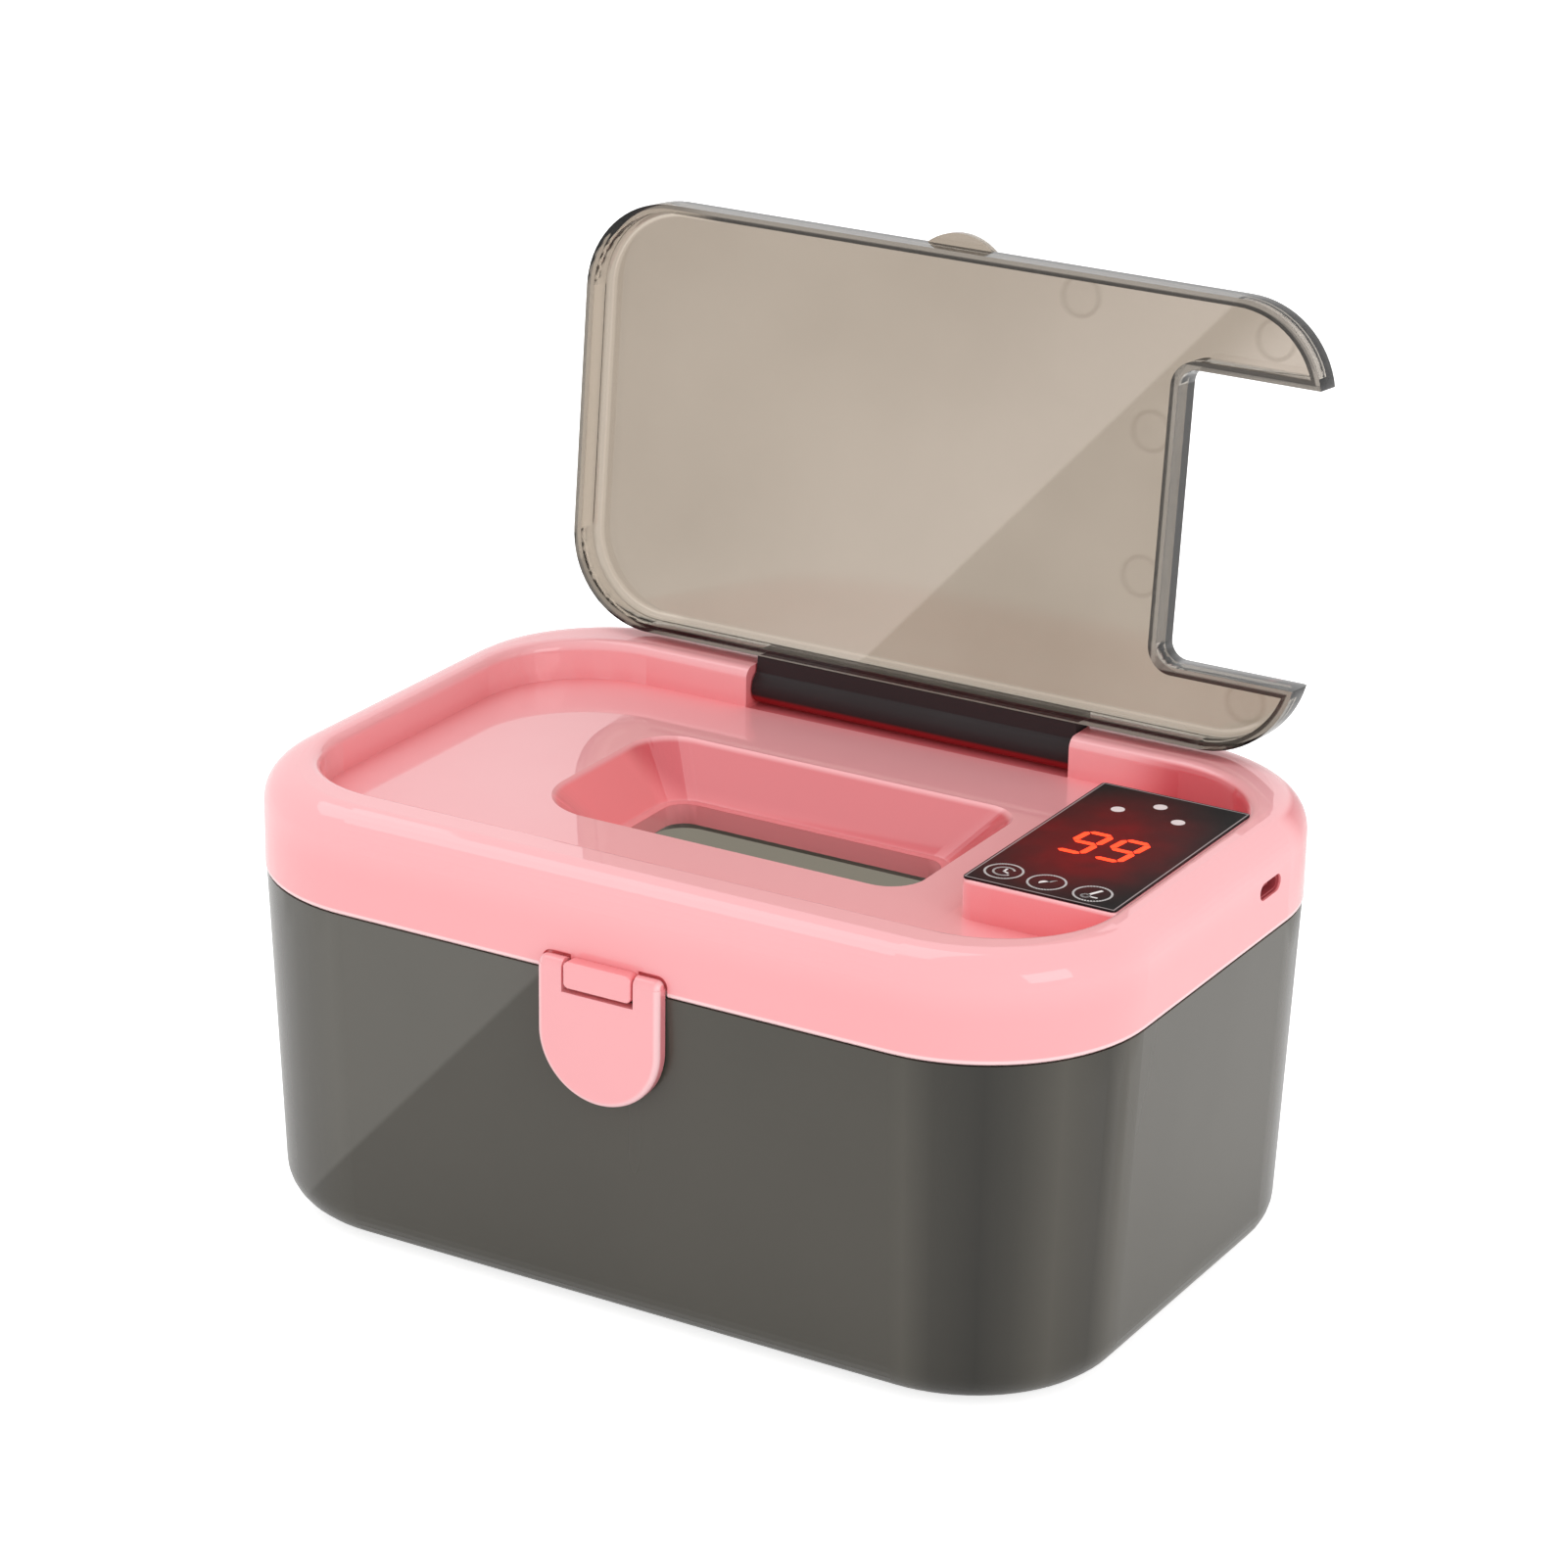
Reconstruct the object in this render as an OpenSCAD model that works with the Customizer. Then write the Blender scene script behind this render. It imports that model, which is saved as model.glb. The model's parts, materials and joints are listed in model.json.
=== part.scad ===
// Baby wipe warmer: smoke-grey container, pink top cover with heater and controls,
// flip lid standing open, U-shaped front latch closed.
// Frame: origin at the centre of the resting plane, +X right, -Y front, +Z up. Millimetres.

/* [Outline] */
// Width of the container and cover
body_w = 200; // [180:1:220]
// Depth of the container and cover
body_d = 136.9; // [126:0.1:150]
// Plan corner radius
corner_r = 36.5; // [30:0.5:42]

/* [Container] */
// How far the rubber feet stand proud
foot_proud = 1.0; // [0.6:0.1:2]
// Radius of a foot
foot_r = 6; // [4:0.5:9]
// Depth of the pocket that holds a foot
foot_pocket = 1.0; // [0.5:0.1:1.4]
// Distance of the feet from the outline
foot_inset = 32; // [28:1:40]
// Height of the container from its underside to its shoulder
bowl_h = 74.9; // [60:0.1:95]
// Wall thickness of the container
bowl_wall = 2.4; // [1.8:0.1:3]
// Floor thickness of the container
bowl_floor = 2.6; // [2.2:0.1:4]
// Draft angle of the container wall
bowl_draft = 2.4; // [0.5:0.1:3]
// Radius of the bottom edge
bowl_edge_r = 8.7; // [5:0.1:12]
// Step between the cover outline and the container wall
bowl_inset = 0.25; // [0.1:0.05:0.6]
// Height of the lip that stands inside the cover skirt
lip_h = 3.5; // [2:0.1:3.6]
// Distance of the lip's outer face from the outline
lip_inset = 2.6; // [2.5:0.1:3]
// Thickness of the lip
lip_t = 1.4; // [1:0.1:1.5]
// Height of the thickened band below the lip
bead_h = 7; // [4:0.5:12]

/* [Cover] */
// Gap between the container shoulder and the skirt
seam_gap = 0.3; // [0.2:0.05:0.6]
// Height of the cover from skirt edge to rim top
cover_h = 21.5; // [19:0.1:26]
// Wall thickness of the cover
cover_wall = 2.2; // [1.8:0.1:2.3]
// Outer edge radius of the rim
rim_r = 7.2; // [5:0.1:8]
// Chamfer on the skirt's lower edge
skirt_chamfer = 0.4; // [0.2:0.1:0.8]
// Distance of the recess's side walls from the outline
recess_side = 9.7; // [9:0.1:10.5]
// Front wall of the recess, distance ahead of the centre
recess_front = 54; // [50:0.5:56]
// Rear wall of the recess, distance behind the centre
recess_back = 50.6; // [50:0.1:51.4]
// Corner radius of the recess
recess_r = 25; // [20:0.5:26]
// Radius of the rim's inner edge
recess_edge_r = 2.4; // [2.2:0.1:2.5]
// Depth of the deck below the rim top
deck_drop = 8.7; // [8.5:0.1:10]
// Thickness of the deck
deck_t = 2; // [1.6:0.1:2.4]

/* [Dispensing funnel] */
// Width of the funnel at the deck
funnel_w = 90.6; // [84:0.1:94]
// Depth of the funnel at the deck
funnel_d = 51.3; // [46:0.1:60]
// Funnel centre, left to right
funnel_x = -3.3; // [-5:0.1:2]
// Funnel centre, front to back
funnel_y = 2.1; // [-4:0.1:4]
// Front left corner radius of the funnel at the deck
funnel_front_r = 15; // [8:0.5:18]
// Back left corner radius of the funnel at the deck
funnel_back_r = 10; // [8:0.5:18]
// Corner radius of the funnel's right end at the deck
funnel_right_r = 8; // [6:0.5:18]
// Depth of the funnel floor below the deck
funnel_drop = 9.5; // [7:0.1:9.8]
// Width of the flat band around the slot
funnel_band = 2; // [1.5:0.1:4]
// Width of the dispensing slot
slot_w = 66.3; // [50:0.1:68]
// Depth of the dispensing slot
slot_d = 27.2; // [18:0.1:30]
// Corner radius of the slot
slot_r = 5; // [4:0.5:12]
// Slot centre right of the funnel centre
slot_x = 1.2; // [-3:0.1:3]
// Slot centre behind the funnel centre
slot_y = -0.5; // [-3:0.1:3]
// Height of the slot wall
slot_h = 4.5; // [4:0.1:5]

/* [Control block] */
// Distance of the block's left face from the cover's right side
block_reach = 43.3; // [40:0.1:44]
// Front face of the block, distance ahead of the centre
block_front = 29.2; // [24:0.1:30]
// Rear face of the block, distance behind the centre
block_back = 32.6; // [28:0.1:34]
// Distance of the block's right end, buried in the rim, from the cover's right side
block_bury = 6; // [5.5:0.1:7]
// Corner radius of the block
block_r = 3; // [2:0.1:4]
// Rounding of the block's top edge
block_edge_r = 0.8; // [0.4:0.1:1.2]
// Depth of the block's top below the rim top
block_drop = 0.5; // [0.5:0.1:1.5]
// Thickness of the block's top and sides
block_wall = 2; // [1.6:0.1:2.4]
// Thickness of the panel film
film_t = 0.4; // [0.2:0.05:0.5]
// Distance of the film from the block's edge
film_inset = 0.6; // [0.5:0.1:1.5]
// Corner radius of the film
film_r = 1; // [0.6:0.1:2]
// Distance of the film's right edge from the cover's right side
film_side = 9.2; // [8.5:0.1:12]

/* [Electronics] */
// Thickness of the main board
board_t = 1.6; // [1:0.1:2]
// Distance of the board below the block's top plate
board_drop = 4.6; // [4:0.1:6]
// Edge gap around the board
board_gap = 1.6; // [1:0.1:3]
// Width of the display module
display_w = 15; // [12:0.5:20]
// Depth of the display module
display_d = 14; // [12:0.5:18]
// Display centre from the block's left face
display_x = 16.9; // [14:0.1:18]
// Display centre from the block's front face
display_y = 29; // [24:0.1:34]
// Radius of an indicator lamp
led_r = 1.5; // [1:0.1:2]
// Spacing of the indicator lamps
led_pitch = 6.8; // [5:0.1:8]
// Lamp row from the block's front face
led_y = 49; // [46:0.1:51]
// Offset of the middle lamp towards the back
led_step = 5.7; // [3:0.1:6]
// Radius of a touch pad
touch_r = 3; // [2:0.1:3.2]
// Spacing of the touch pads
touch_pitch = 10.2; // [9:0.1:10.6]
// Touch pads from the block's front face
touch_y = 6.8; // [6.6:0.1:8]
// Width of the USB socket shell
usb_w = 8.94; // [8.9:0.01:9.2]
// Height of the USB socket shell
usb_h = 3.26; // [3.2:0.01:3.4]
// Length of the USB socket shell
usb_l = 7.35; // [6.5:0.05:9]
// Distance of the socket's mouth behind the skirt's face
usb_mouth = 0.8; // [0.4:0.1:2]
// Place of the socket behind the centre
usb_y = 22.9; // [18:0.1:24]
// Thickness of the socket's board
usb_board_t = 1.2; // [0.8:0.1:1.6]
// Width of the opening in the skirt
port_w = 9.5; // [9.4:0.1:10.5]
// Height of the opening in the skirt
port_h = 3.7; // [3.6:0.1:4.2]
// Radius of a lead
wire_r = 0.55; // [0.4:0.05:0.6]

/* [Heater] */
// Thickness of the base plate of the cover
tray_t = 1.8; // [1.6:0.1:2]
// Distance of the base plate from the outline
tray_inset = 5.2; // [5:0.1:5.6]
// Thickness of the insulation pad
pad_t = 0.7; // [0.5:0.1:1]
// Thickness of the heater film
heater_film_t = 0.2; // [0.15:0.05:0.4]
// Thickness of the heating plate
plate_t = 1.0; // [0.8:0.1:1.2]
// Distance of the heating plate from the outline
plate_inset = 15; // [12:0.5:20]
// Gap between the slot wall and the base plate
window_gap = 0.2; // [0.1:0.05:0.6]
// Distance of the heater's window from the slot
heater_gap = 2.3; // [1.5:0.1:4]

/* [Gasket] */
// Width of the gasket
gasket_w = 2.2; // [1.6:0.1:2.4]
// Height of the gasket
gasket_h = 2; // [1.5:0.1:2.6]
// Height of the shelf above the gasket
shelf_t = 2.3; // [1.8:0.1:3]
// Thickness of the wall inside the gasket
ring_t = 2; // [1.6:0.1:2.2]

/* [Flip lid] */
// Gap between the closed lid and the side walls of the recess
lid_side_gap = 2.3; // [1.8:0.1:4.3]
// Length of the lid, hinge side to free edge
lid_l = 95.2; // [93:0.1:97]
// Depth of the lid's walls
lid_h = 8; // [6:0.1:8.2]
// Thickness of the lid plate
lid_plate = 2; // [1.5:0.1:2.5]
// Thickness of the lid walls
lid_wall = 1.8; // [1.4:0.1:2.2]
// Corner radius of the lid
lid_r = 20.5; // [20:0.1:24]
// Edge radius of the lid
lid_edge_r = 1.2; // [0.6:0.1:1.6]
// How far the closed lid stands above the rim
lid_proud = 0.6; // [0.3:0.1:1.2]
// Gap between the closed lid and the rear recess wall
lid_back_gap = 1.3; // [1:0.1:1.5]
// Gap around the block when the lid is closed
notch_gap = 0.5; // [0.4:0.1:0.8]
// Extra gap at the block's left face
notch_side_gap = 0.3; // [0:0.1:0.8]
// Inner corner radius of the notch
notch_r = 4; // [3.6:0.1:4.4]
// Width of the finger tab
tab_w = 15.5; // [10:0.5:22]
// How far the finger tab stands out
tab_l = 2.8; // [2:0.1:4]
// Angle between the closed and the open lid
lid_open = 95.5; // [90:0.5:96]

/* [Lid hinge] */
// Hinge axis behind the rear recess wall
lid_axis_back = 5.6; // [5.5:0.1:6]
// Hinge axis below the rim top
lid_axis_drop = 5.1; // [5:0.1:5.3]
// Width of the hinge notch
hinge_notch_w = 79.2; // [60:0.2:84]
// Gap at each end of the barrel
hinge_end_gap = 0.4; // [0.3:0.1:1]
// Radius of the hinge barrel
barrel_r = 3.9; // [3.4:0.1:4]
// Gap between the barrel and its trough
trough_gap = 0.5; // [0.4:0.1:0.8]
// Depth of the trough behind the axis
trough_back = 5.2; // [5.2:0.1:5.6]
// Arm's lower face below the axis, lid closed
arm_below = 2.2; // [1.5:0.1:2.3]
// Arm's upper face above the axis, lid closed
arm_above = 4.2; // [3:0.1:4.3]
// Radius of the lid hinge pin
lid_pin_r = 1.2; // [1:0.1:1.4]
// Length of the pin held in each side of the cover
lid_pin_grip = 5; // [4:0.5:6]

/* [Rear hinge] */
// Distance of each hinge from the centre
rear_x = 48; // [40:1:54]
// Distance of the axis behind the cover
rear_axis = 3.4; // [3.3:0.1:3.8]
// Radius of a knuckle
knuckle_r = 3; // [2.7:0.1:3.1]
// Width of the container knuckle
knuckle_w = 14; // [10:0.5:18]
// Width of each cover knuckle
cover_knuckle_w = 6; // [4:0.5:8]
// Gap between knuckles
knuckle_gap = 0.4; // [0.3:0.1:0.6]
// Radius of the rear hinge pins
rear_pin_r = 1.25; // [1:0.05:1.5]

/* [Front latch] */
// Width of the latch
latch_w = 28.2; // [24:0.2:32]
// Length of the latch from its top to its round end
latch_l = 29.6; // [26:0.1:34]
// Front face of the latch ahead of the skirt
latch_proud = 2.8; // [2.6:0.1:3.2]
// Gap between the latch and the container
latch_gap = 0.3; // [0.3:0.05:0.6]
// Width of the opening between the ears
latch_slot_w = 16.6; // [14:0.2:18]
// Gap between the knuckle and the ears
ear_gap = 0.5; // [0.4:0.1:0.8]
// Pocket in the skirt behind the ears
pocket_d = 1.1; // [1:0.1:1.2]
// Height of the latch axis above the skirt edge
latch_axis_up = 2.0; // [1.8:0.1:2.4]
// Height of the central knuckle
latch_knuckle_h = 5.7; // [5:0.1:6]
// Gap under the central knuckle
latch_knuckle_gap = 1.0; // [0.8:0.1:1.6]
// Radius of the latch pin
latch_pin_r = 0.8; // [0.6:0.05:0.9]
// Height of the catch above the container's underside
catch_z = 59.5; // [54:0.5:64]
// Width of the catch
catch_w = 16; // [10:0.5:20]
// Height of the catch
catch_h = 2; // [1.5:0.1:3]

/* [Fits and fasteners] */
// Radial gap of a pin that turns
run_fit = 0.05; // [0.02:0.01:0.09]
// Radial gap of a pin that is held
hold_fit = 0.02; // [0.01:0.01:0.03]
// Shank radius of a cover screw
screw_r = 1.25; // [1:0.05:1.4]
// Gap around a screw in a through hole
screw_gap = 0.15; // [0.1:0.05:0.3]
// Head radius of a cover screw
screw_head_r = 2.5; // [2:0.1:2.8]
// Head height of a cover screw
screw_head_h = 0.9; // [0.6:0.1:1.1]
// Length of a cover screw
screw_l = 7; // [5:0.5:8]
// Shank radius of a heater screw
heater_screw_r = 1; // [0.8:0.05:1.2]
// Radius of a screw boss
boss_r = 3.2; // [2.8:0.1:3.6]
// Shank radius of a board screw
board_screw_r = 0.9; // [0.7:0.05:1.1]

/* [Hidden] */
$fn = 64;
eps = 0.01;
over = 1;          // how far a cut runs past a face
arc_steps = 8;     // chords in a quarter round

// heights
bowl_z = foot_proud;
shoulder_z = bowl_z + bowl_h;
lip_z = shoulder_z + lip_h;
skirt_z = shoulder_z + seam_gap;
rim_z = skirt_z + cover_h;
deck_z = rim_z - deck_drop;
deck_under_z = deck_z - deck_t;
block_z = rim_z - block_drop;
block_under_z = block_z - block_wall;
floor_z = deck_z - funnel_drop;
slot_foot_z = floor_z - slot_h;
gasket_z = lip_z + seam_gap;
shelf_z = gasket_z + gasket_h;
shelf_top_z = shelf_z + shelf_t;
ring_z = gasket_z - 0.5;
tray_z = slot_foot_z;
tray_top_z = tray_z + tray_t;
pad_z = tray_z - pad_t;
heater_film_z = pad_z - heater_film_t;
plate_z = heater_film_z - plate_t;
board_top_z = block_under_z - board_drop;
board_z = board_top_z - board_t;
usb_z = shelf_top_z + usb_board_t + usb_h / 2;

// plan places
skirt_right = body_w / 2;
skirt_front = -body_d / 2;
skirt_back = body_d / 2;
recess_half_w = skirt_right - recess_side;
lid_w = 2 * (recess_half_w - lid_side_gap);
block_left = skirt_right - block_reach;
block_right = skirt_right - block_bury;
film_right = skirt_right - film_side;
slot_cx = funnel_x + slot_x;
slot_cy = funnel_y + slot_y;
slot_foot_wall = 2;
funnel_corners = [[-1, -1, funnel_front_r], [1, -1, funnel_right_r], [1, 1, funnel_right_r],
  [-1, 1, funnel_back_r]];
recess_cy = (recess_back - recess_front) / 2;
recess_d = recess_back + recess_front;
block_cx = (block_left + block_right) / 2;
block_cy = (block_back - block_front) / 2;
film_cx = (block_left + film_inset + film_right) / 2;

// container
draft_t = tan(bowl_draft);
function wall_inset(z) = bowl_inset + (shoulder_z - z) * draft_t;
bowl_in_r = bowl_edge_r - bowl_wall;
bowl_floor_z = bowl_z + bowl_floor;
bead_z = shoulder_z - bead_h;
bead_slope = 2;
foot_x = skirt_right - foot_inset;
foot_y = skirt_back - foot_inset;

// cover ring, gasket and base plate
ring_inset = tray_inset - 0.2;
ring_in = ring_inset + ring_t;
gasket_inset = cover_wall + 0.2;
tray_wall_in = ring_in;
counterbore_h = screw_head_h + 0.05;

// lid
lid_top_z = rim_z + lid_proud;
lid_bottom_z = lid_top_z - lid_h;
lid_back = recess_back - lid_back_gap;
lid_front = lid_back - lid_l;
lid_cy = lid_back - lid_l / 2;
lid_inner_r = 1.5;
notch_left = block_left - notch_gap - notch_side_gap;
notch_front = -block_front - notch_gap;
notch_back = block_back + notch_gap;
notch_right = lid_w / 2 + 12;
tab_r = (pow(tab_w / 2, 2) + tab_l * tab_l) / (2 * tab_l);
lid_axis_y = recess_back + lid_axis_back;
lid_axis_z = rim_z - lid_axis_drop;
barrel_l = hinge_notch_w - 2 * hinge_end_gap;
trough_wall = 1.6;
trough_lead = 0.4;
trough_floor_z = lid_axis_z - barrel_r - trough_gap;
trough_end_y = lid_axis_y + trough_back;
lid_pin_l = hinge_notch_w + 2 * lid_pin_grip - 0.4;
pin_boss_l = lid_pin_grip + 1.5;
pin_boss_half = 3;

// rear hinge
rear_axis_y = skirt_back + rear_axis;
rear_axis_z = shoulder_z + seam_gap / 2;
rear_pin_l = knuckle_w + 2 * (knuckle_gap + cover_knuckle_w);
rear_knuckle_off = knuckle_w / 2 + knuckle_gap + cover_knuckle_w / 2;
gusset_h = 11;

// front latch
latch_front = skirt_front - latch_proud;
latch_back = skirt_front + bowl_inset - latch_gap;
latch_edge_r = 1.2;
pocket_y = skirt_front + pocket_d;
pocket_side = 0.4;
ear_r = (pocket_y - latch_gap - latch_front) / 2;
latch_axis_y = latch_front + ear_r;
latch_axis_z = skirt_z + latch_axis_up;
latch_top_z = latch_axis_z + ear_r;
pocket_top_z = latch_top_z + pocket_side;
pocket_r = 2.2;
ear_end_r = 1.7;
latch_round_z = latch_top_z - latch_l + latch_w / 2;
knuckle_front = latch_front - 0.4;
latch_knuckle_z = latch_top_z - latch_knuckle_h;
latch_knuckle_w = latch_slot_w - 2 * ear_gap;
latch_slot_z = latch_knuckle_z - latch_knuckle_gap;
latch_pin_l = latch_w - 1.6;
catch_bottom_z = bowl_z + catch_z;
catch_front = latch_back + 0.3;

// screws
cover_screw_x = skirt_right - 22;
cover_screw_right = cover_screw_x - 2;
cover_screw_at = [[-cover_screw_x, skirt_front + 28.45], [-cover_screw_x, skirt_back - 30.45],
  [0, skirt_front + 22.45], [0, skirt_back - 26.45],
  [cover_screw_right, skirt_front + 26.45], [cover_screw_right, skirt_back - 27.45]];
heater_screw_x = skirt_right - 38;
heater_screw_at = [[-heater_screw_x, skirt_front + 24.45], [-heater_screw_x, skirt_back - 24.45],
  [heater_screw_x - 4, skirt_front + 22.45], [heater_screw_x, skirt_back - 22.45]];
heater_boss_h = 2;
heater_screw_l = 5;

// main board and what it carries
board_left = block_left + block_wall + board_gap;
board_right = block_right - block_wall - board_gap;
board_front = -block_front + block_wall + board_gap;
board_back = block_back - block_wall - board_gap;
board_screw_at = [[board_left + 2.6, board_front + 10.6], [board_right - 4, board_front + 10.6],
  [board_left + 2.6, board_back - 2.6], [board_right - 3, board_back - 2.6]];
board_boss_r = 2;
board_screw_l = 5;
display_cx = block_left + display_x;
display_cy = -block_front + display_y;
window_play = 0.2;
lamp_cy = -block_front + led_y;
lamp_h = block_z - board_top_z - 0.2;
lamp_at = [[display_cx - led_pitch, lamp_cy], [display_cx, lamp_cy + led_step], [display_cx + led_pitch, lamp_cy]];
touch_cx = display_cx - 0.6;
touch_cy = -block_front + touch_y;
socket_h = 4;
socket_z = board_z - socket_h;
heater_socket = [block_left + 13.3, -15];
usb_socket_at = [block_left + 15.3, 20];
small_socket_w = 7;
chip_at = [block_left + 22.3, -8];
usb_mouth_x = skirt_right - usb_mouth;
usb_board_left = skirt_right - 17;
usb_board_right = skirt_right - cover_wall - 0.4;
usb_board_d = 12;

// sensors
sensor_y = 3;
thermistor_x = block_left + 9.3;
thermistor_r = 1.2;
thermistor_l = 4;
fuse_x = block_left + 23.3;
fuse_r = 1.7;
fuse_l = 9;
lead_reach = 1.6;
bend_swell = 1.1;    // bends are this much thicker than the lead
hatch_d = 6;
hatch_w = 8;
lead_side = 4.5;     // sideways step of the heater leads
lead_drop = 3;
lead_slope = 2.5;
lead_half = 1.5;     // half the spacing of a pair of leads
sensors = [[thermistor_x, thermistor_l, thermistor_r], [fuse_x, fuse_l, fuse_r]];

// colours
pink = [0.98, 0.72, 0.73];
smoke = [0.35, 0.35, 0.33];
lid_smoke = [0.72, 0.67, 0.61];
steel = [0.75, 0.75, 0.77];
dark = [0.12, 0.12, 0.12];
green = [0.10, 0.35, 0.20];
copper = [0.80, 0.50, 0.25];
silicone = [0.90, 0.88, 0.85];
foam = [0.85, 0.83, 0.78];
red = [0.90, 0.15, 0.10];

// points of an arc about (cx, cz)
function arc(cx, cz, r, a0, a1) =
  [for (i = [0:arc_steps]) let (a = a0 + (a1 - a0) * i / arc_steps) [cx + r * cos(a), cz + r * sin(a)]];

// rounded-rectangle solid whose wall follows prof, a list of [offset, z] from bottom to top
module loaf(l, d, r, prof) {
  z0 = prof[0][1];
  z1 = prof[len(prof) - 1][1];
  xh = l / 2 - r;
  yh = d / 2 - r;
  half = concat([[0, z0]], [for (p = prof) [r + p[0], p[1]]], [[0, z1]]);
  full = concat([for (p = prof) [l / 2 + p[0], p[1]]],
    [for (i = [len(prof) - 1:-1:0]) [-l / 2 - prof[i][0], prof[i][1]]]);
  for (k = [0:3])
    translate([(k == 0 || k == 3 ? 1 : -1) * xh, (k < 2 ? 1 : -1) * yh, 0]) rotate([0, 0, 90 * k])
      rotate_extrude(angle = 90) polygon(half);
  rotate([90, 0, 0]) linear_extrude(height = 2 * yh, center = true) polygon(full);
  for (turn = [0, 180])
    rotate([0, 0, turn]) translate([0, yh, 0]) rotate([90, 0, 90])
      linear_extrude(height = 2 * xh, center = true) polygon(half);
}

// straight rounded slab between two heights
module slab(l, d, r, z0, z1) { loaf(l, d, r, [[0, z0], [0, z1]]); }

// slab that follows the body's outline at a given inset
module outline_slab(inset, z0, z1) { loaf(body_w, body_d, corner_r, [[-inset, z0], [-inset, z1]]); }

// band of the outline between two insets and two heights
module outline_band(outer, inner, z0, z1) {
  difference() {
    outline_slab(outer, z0, z1);
    outline_slab(inner, z0 - over, z1 + over);
  }
}

// window around the slot, grown by gap
module slot_window(gap, z0, z1) {
  translate([slot_cx, slot_cy, 0]) slab(slot_w + 2 * gap, slot_d + 2 * gap, slot_r + gap, z0, z1);
}

// box between two corners
module box(a, b) { translate(a) cube(b - a); }

// rod along X, centred
module rod_x(r, l) { rotate([0, 90, 0]) cylinder(r = r, h = l, center = true); }

// upright cylinders at a list of places
module posts(places, r, z0, z1) {
  for (p = places) translate([p[0], p[1], z0]) cylinder(r = r, h = z1 - z0);
}

// round-ended slot along Y, cut along X
module port_cut(w, h, x0, x1) {
  for (s = [-1, 1]) translate([x0, s * (w - h) / 2, 0]) rotate([0, 90, 0]) cylinder(r = h / 2, h = x1 - x0);
  translate([x0, -(w - h) / 2, -h / 2]) cube([x1 - x0, w - h, h]);
}

// lead through a list of points
module lead(points) {
  for (i = [0:len(points) - 2]) {
    v = points[i + 1] - points[i];
    h = norm(v);
    translate(points[i]) rotate([0, acos(v[2] / h), atan2(v[1], v[0])]) cylinder(r = wire_r, h = h, $fn = 24);
  }
  for (i = [1:len(points) - 2]) translate(points[i]) sphere(r = wire_r * bend_swell, $fn = 24);
}

// turns the closed lid to its open rest pose
module opened() {
  translate([0, lid_axis_y, lid_axis_z]) rotate([-lid_open, 0, 0]) translate([0, -lid_axis_y, -lid_axis_z])
    children();
}

// ---------------------------------------------------------------- container
module container_knuckles() {
  for (s = [-1, 1]) translate([s * rear_x, 0, 0]) {
    translate([0, rear_axis_y, rear_axis_z]) rod_x(knuckle_r, knuckle_w);
    translate([-knuckle_w / 2, 0, 0]) rotate([90, 0, 90]) linear_extrude(height = knuckle_w)
      polygon([[skirt_back - bowl_wall, rear_axis_z - seam_gap], [rear_axis_y, rear_axis_z - seam_gap],
        [rear_axis_y, rear_axis_z - knuckle_r], [skirt_back - bowl_wall, rear_axis_z - gusset_h]]);
  }
}

module container() {
  edge_z = bowl_z + bowl_edge_r;
  o = -wall_inset(edge_z);
  in_z = bowl_floor_z + bowl_in_r;
  oi = -wall_inset(in_z) - bowl_wall;
  lip_in = lip_inset + lip_t;
  color(smoke) difference() {
    union() {
      loaf(body_w, body_d, corner_r,
        concat(arc(o - bowl_edge_r, edge_z, bowl_edge_r, -90, 0), [[-bowl_inset, shoulder_z]]));
      outline_slab(lip_inset, shoulder_z - over, lip_z);
      container_knuckles();
      box([-catch_w / 2, catch_front, catch_bottom_z], [catch_w / 2, skirt_front + bowl_wall, catch_bottom_z + catch_h]);
    }
    loaf(body_w, body_d, corner_r, concat(arc(oi - bowl_in_r, in_z, bowl_in_r, -90, 0),
      [[-wall_inset(bead_z) - bowl_wall, bead_z], [-lip_in, bead_z + bead_slope], [-lip_in, lip_z + over]]));
    for (sx = [-1, 1]) for (sy = [-1, 1])
      translate([sx * foot_x, sy * foot_y, bowl_z - over]) cylinder(r = foot_r, h = foot_pocket + over);
    for (s = [-1, 1]) translate([s * rear_x, rear_axis_y, rear_axis_z])
      rod_x(rear_pin_r + hold_fit, knuckle_w + 2 * over);
  }
}

module rubber_feet() {
  color(dark) for (sx = [-1, 1]) for (sy = [-1, 1])
    translate([sx * foot_x, sy * foot_y, 0]) cylinder(r = foot_r - hold_fit, h = foot_proud + foot_pocket);
}

module rear_hinge_pins() {
  color(steel) for (s = [-1, 1]) translate([s * rear_x, rear_axis_y, rear_axis_z]) rod_x(rear_pin_r, rear_pin_l);
}

// ---------------------------------------------------------------- cover shell
module shell_skin() {
  difference() {
    loaf(body_w, body_d, corner_r, concat([[-skirt_chamfer, skirt_z], [0, skirt_z + skirt_chamfer]],
      arc(-rim_r, rim_z - rim_r, rim_r, 0, 90)));
    loaf(body_w, body_d, corner_r, concat([[-cover_wall, skirt_z - over]],
      arc(-rim_r, rim_z - rim_r, rim_r - cover_wall, 0, 90)));
  }
}

module recess_pan() {
  translate([0, recess_cy, 0]) slab(2 * (recess_half_w + cover_wall), recess_d + 2 * cover_wall,
    recess_r + cover_wall, deck_under_z, rim_z - cover_wall / 2);
}

module recess_cut() {
  translate([0, recess_cy, 0]) loaf(2 * recess_half_w, recess_d, recess_r, concat([[0, deck_z]],
    arc(recess_edge_r, rim_z - recess_edge_r, recess_edge_r, 180, 90), [[recess_edge_r, rim_z + over]]));
}

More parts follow.
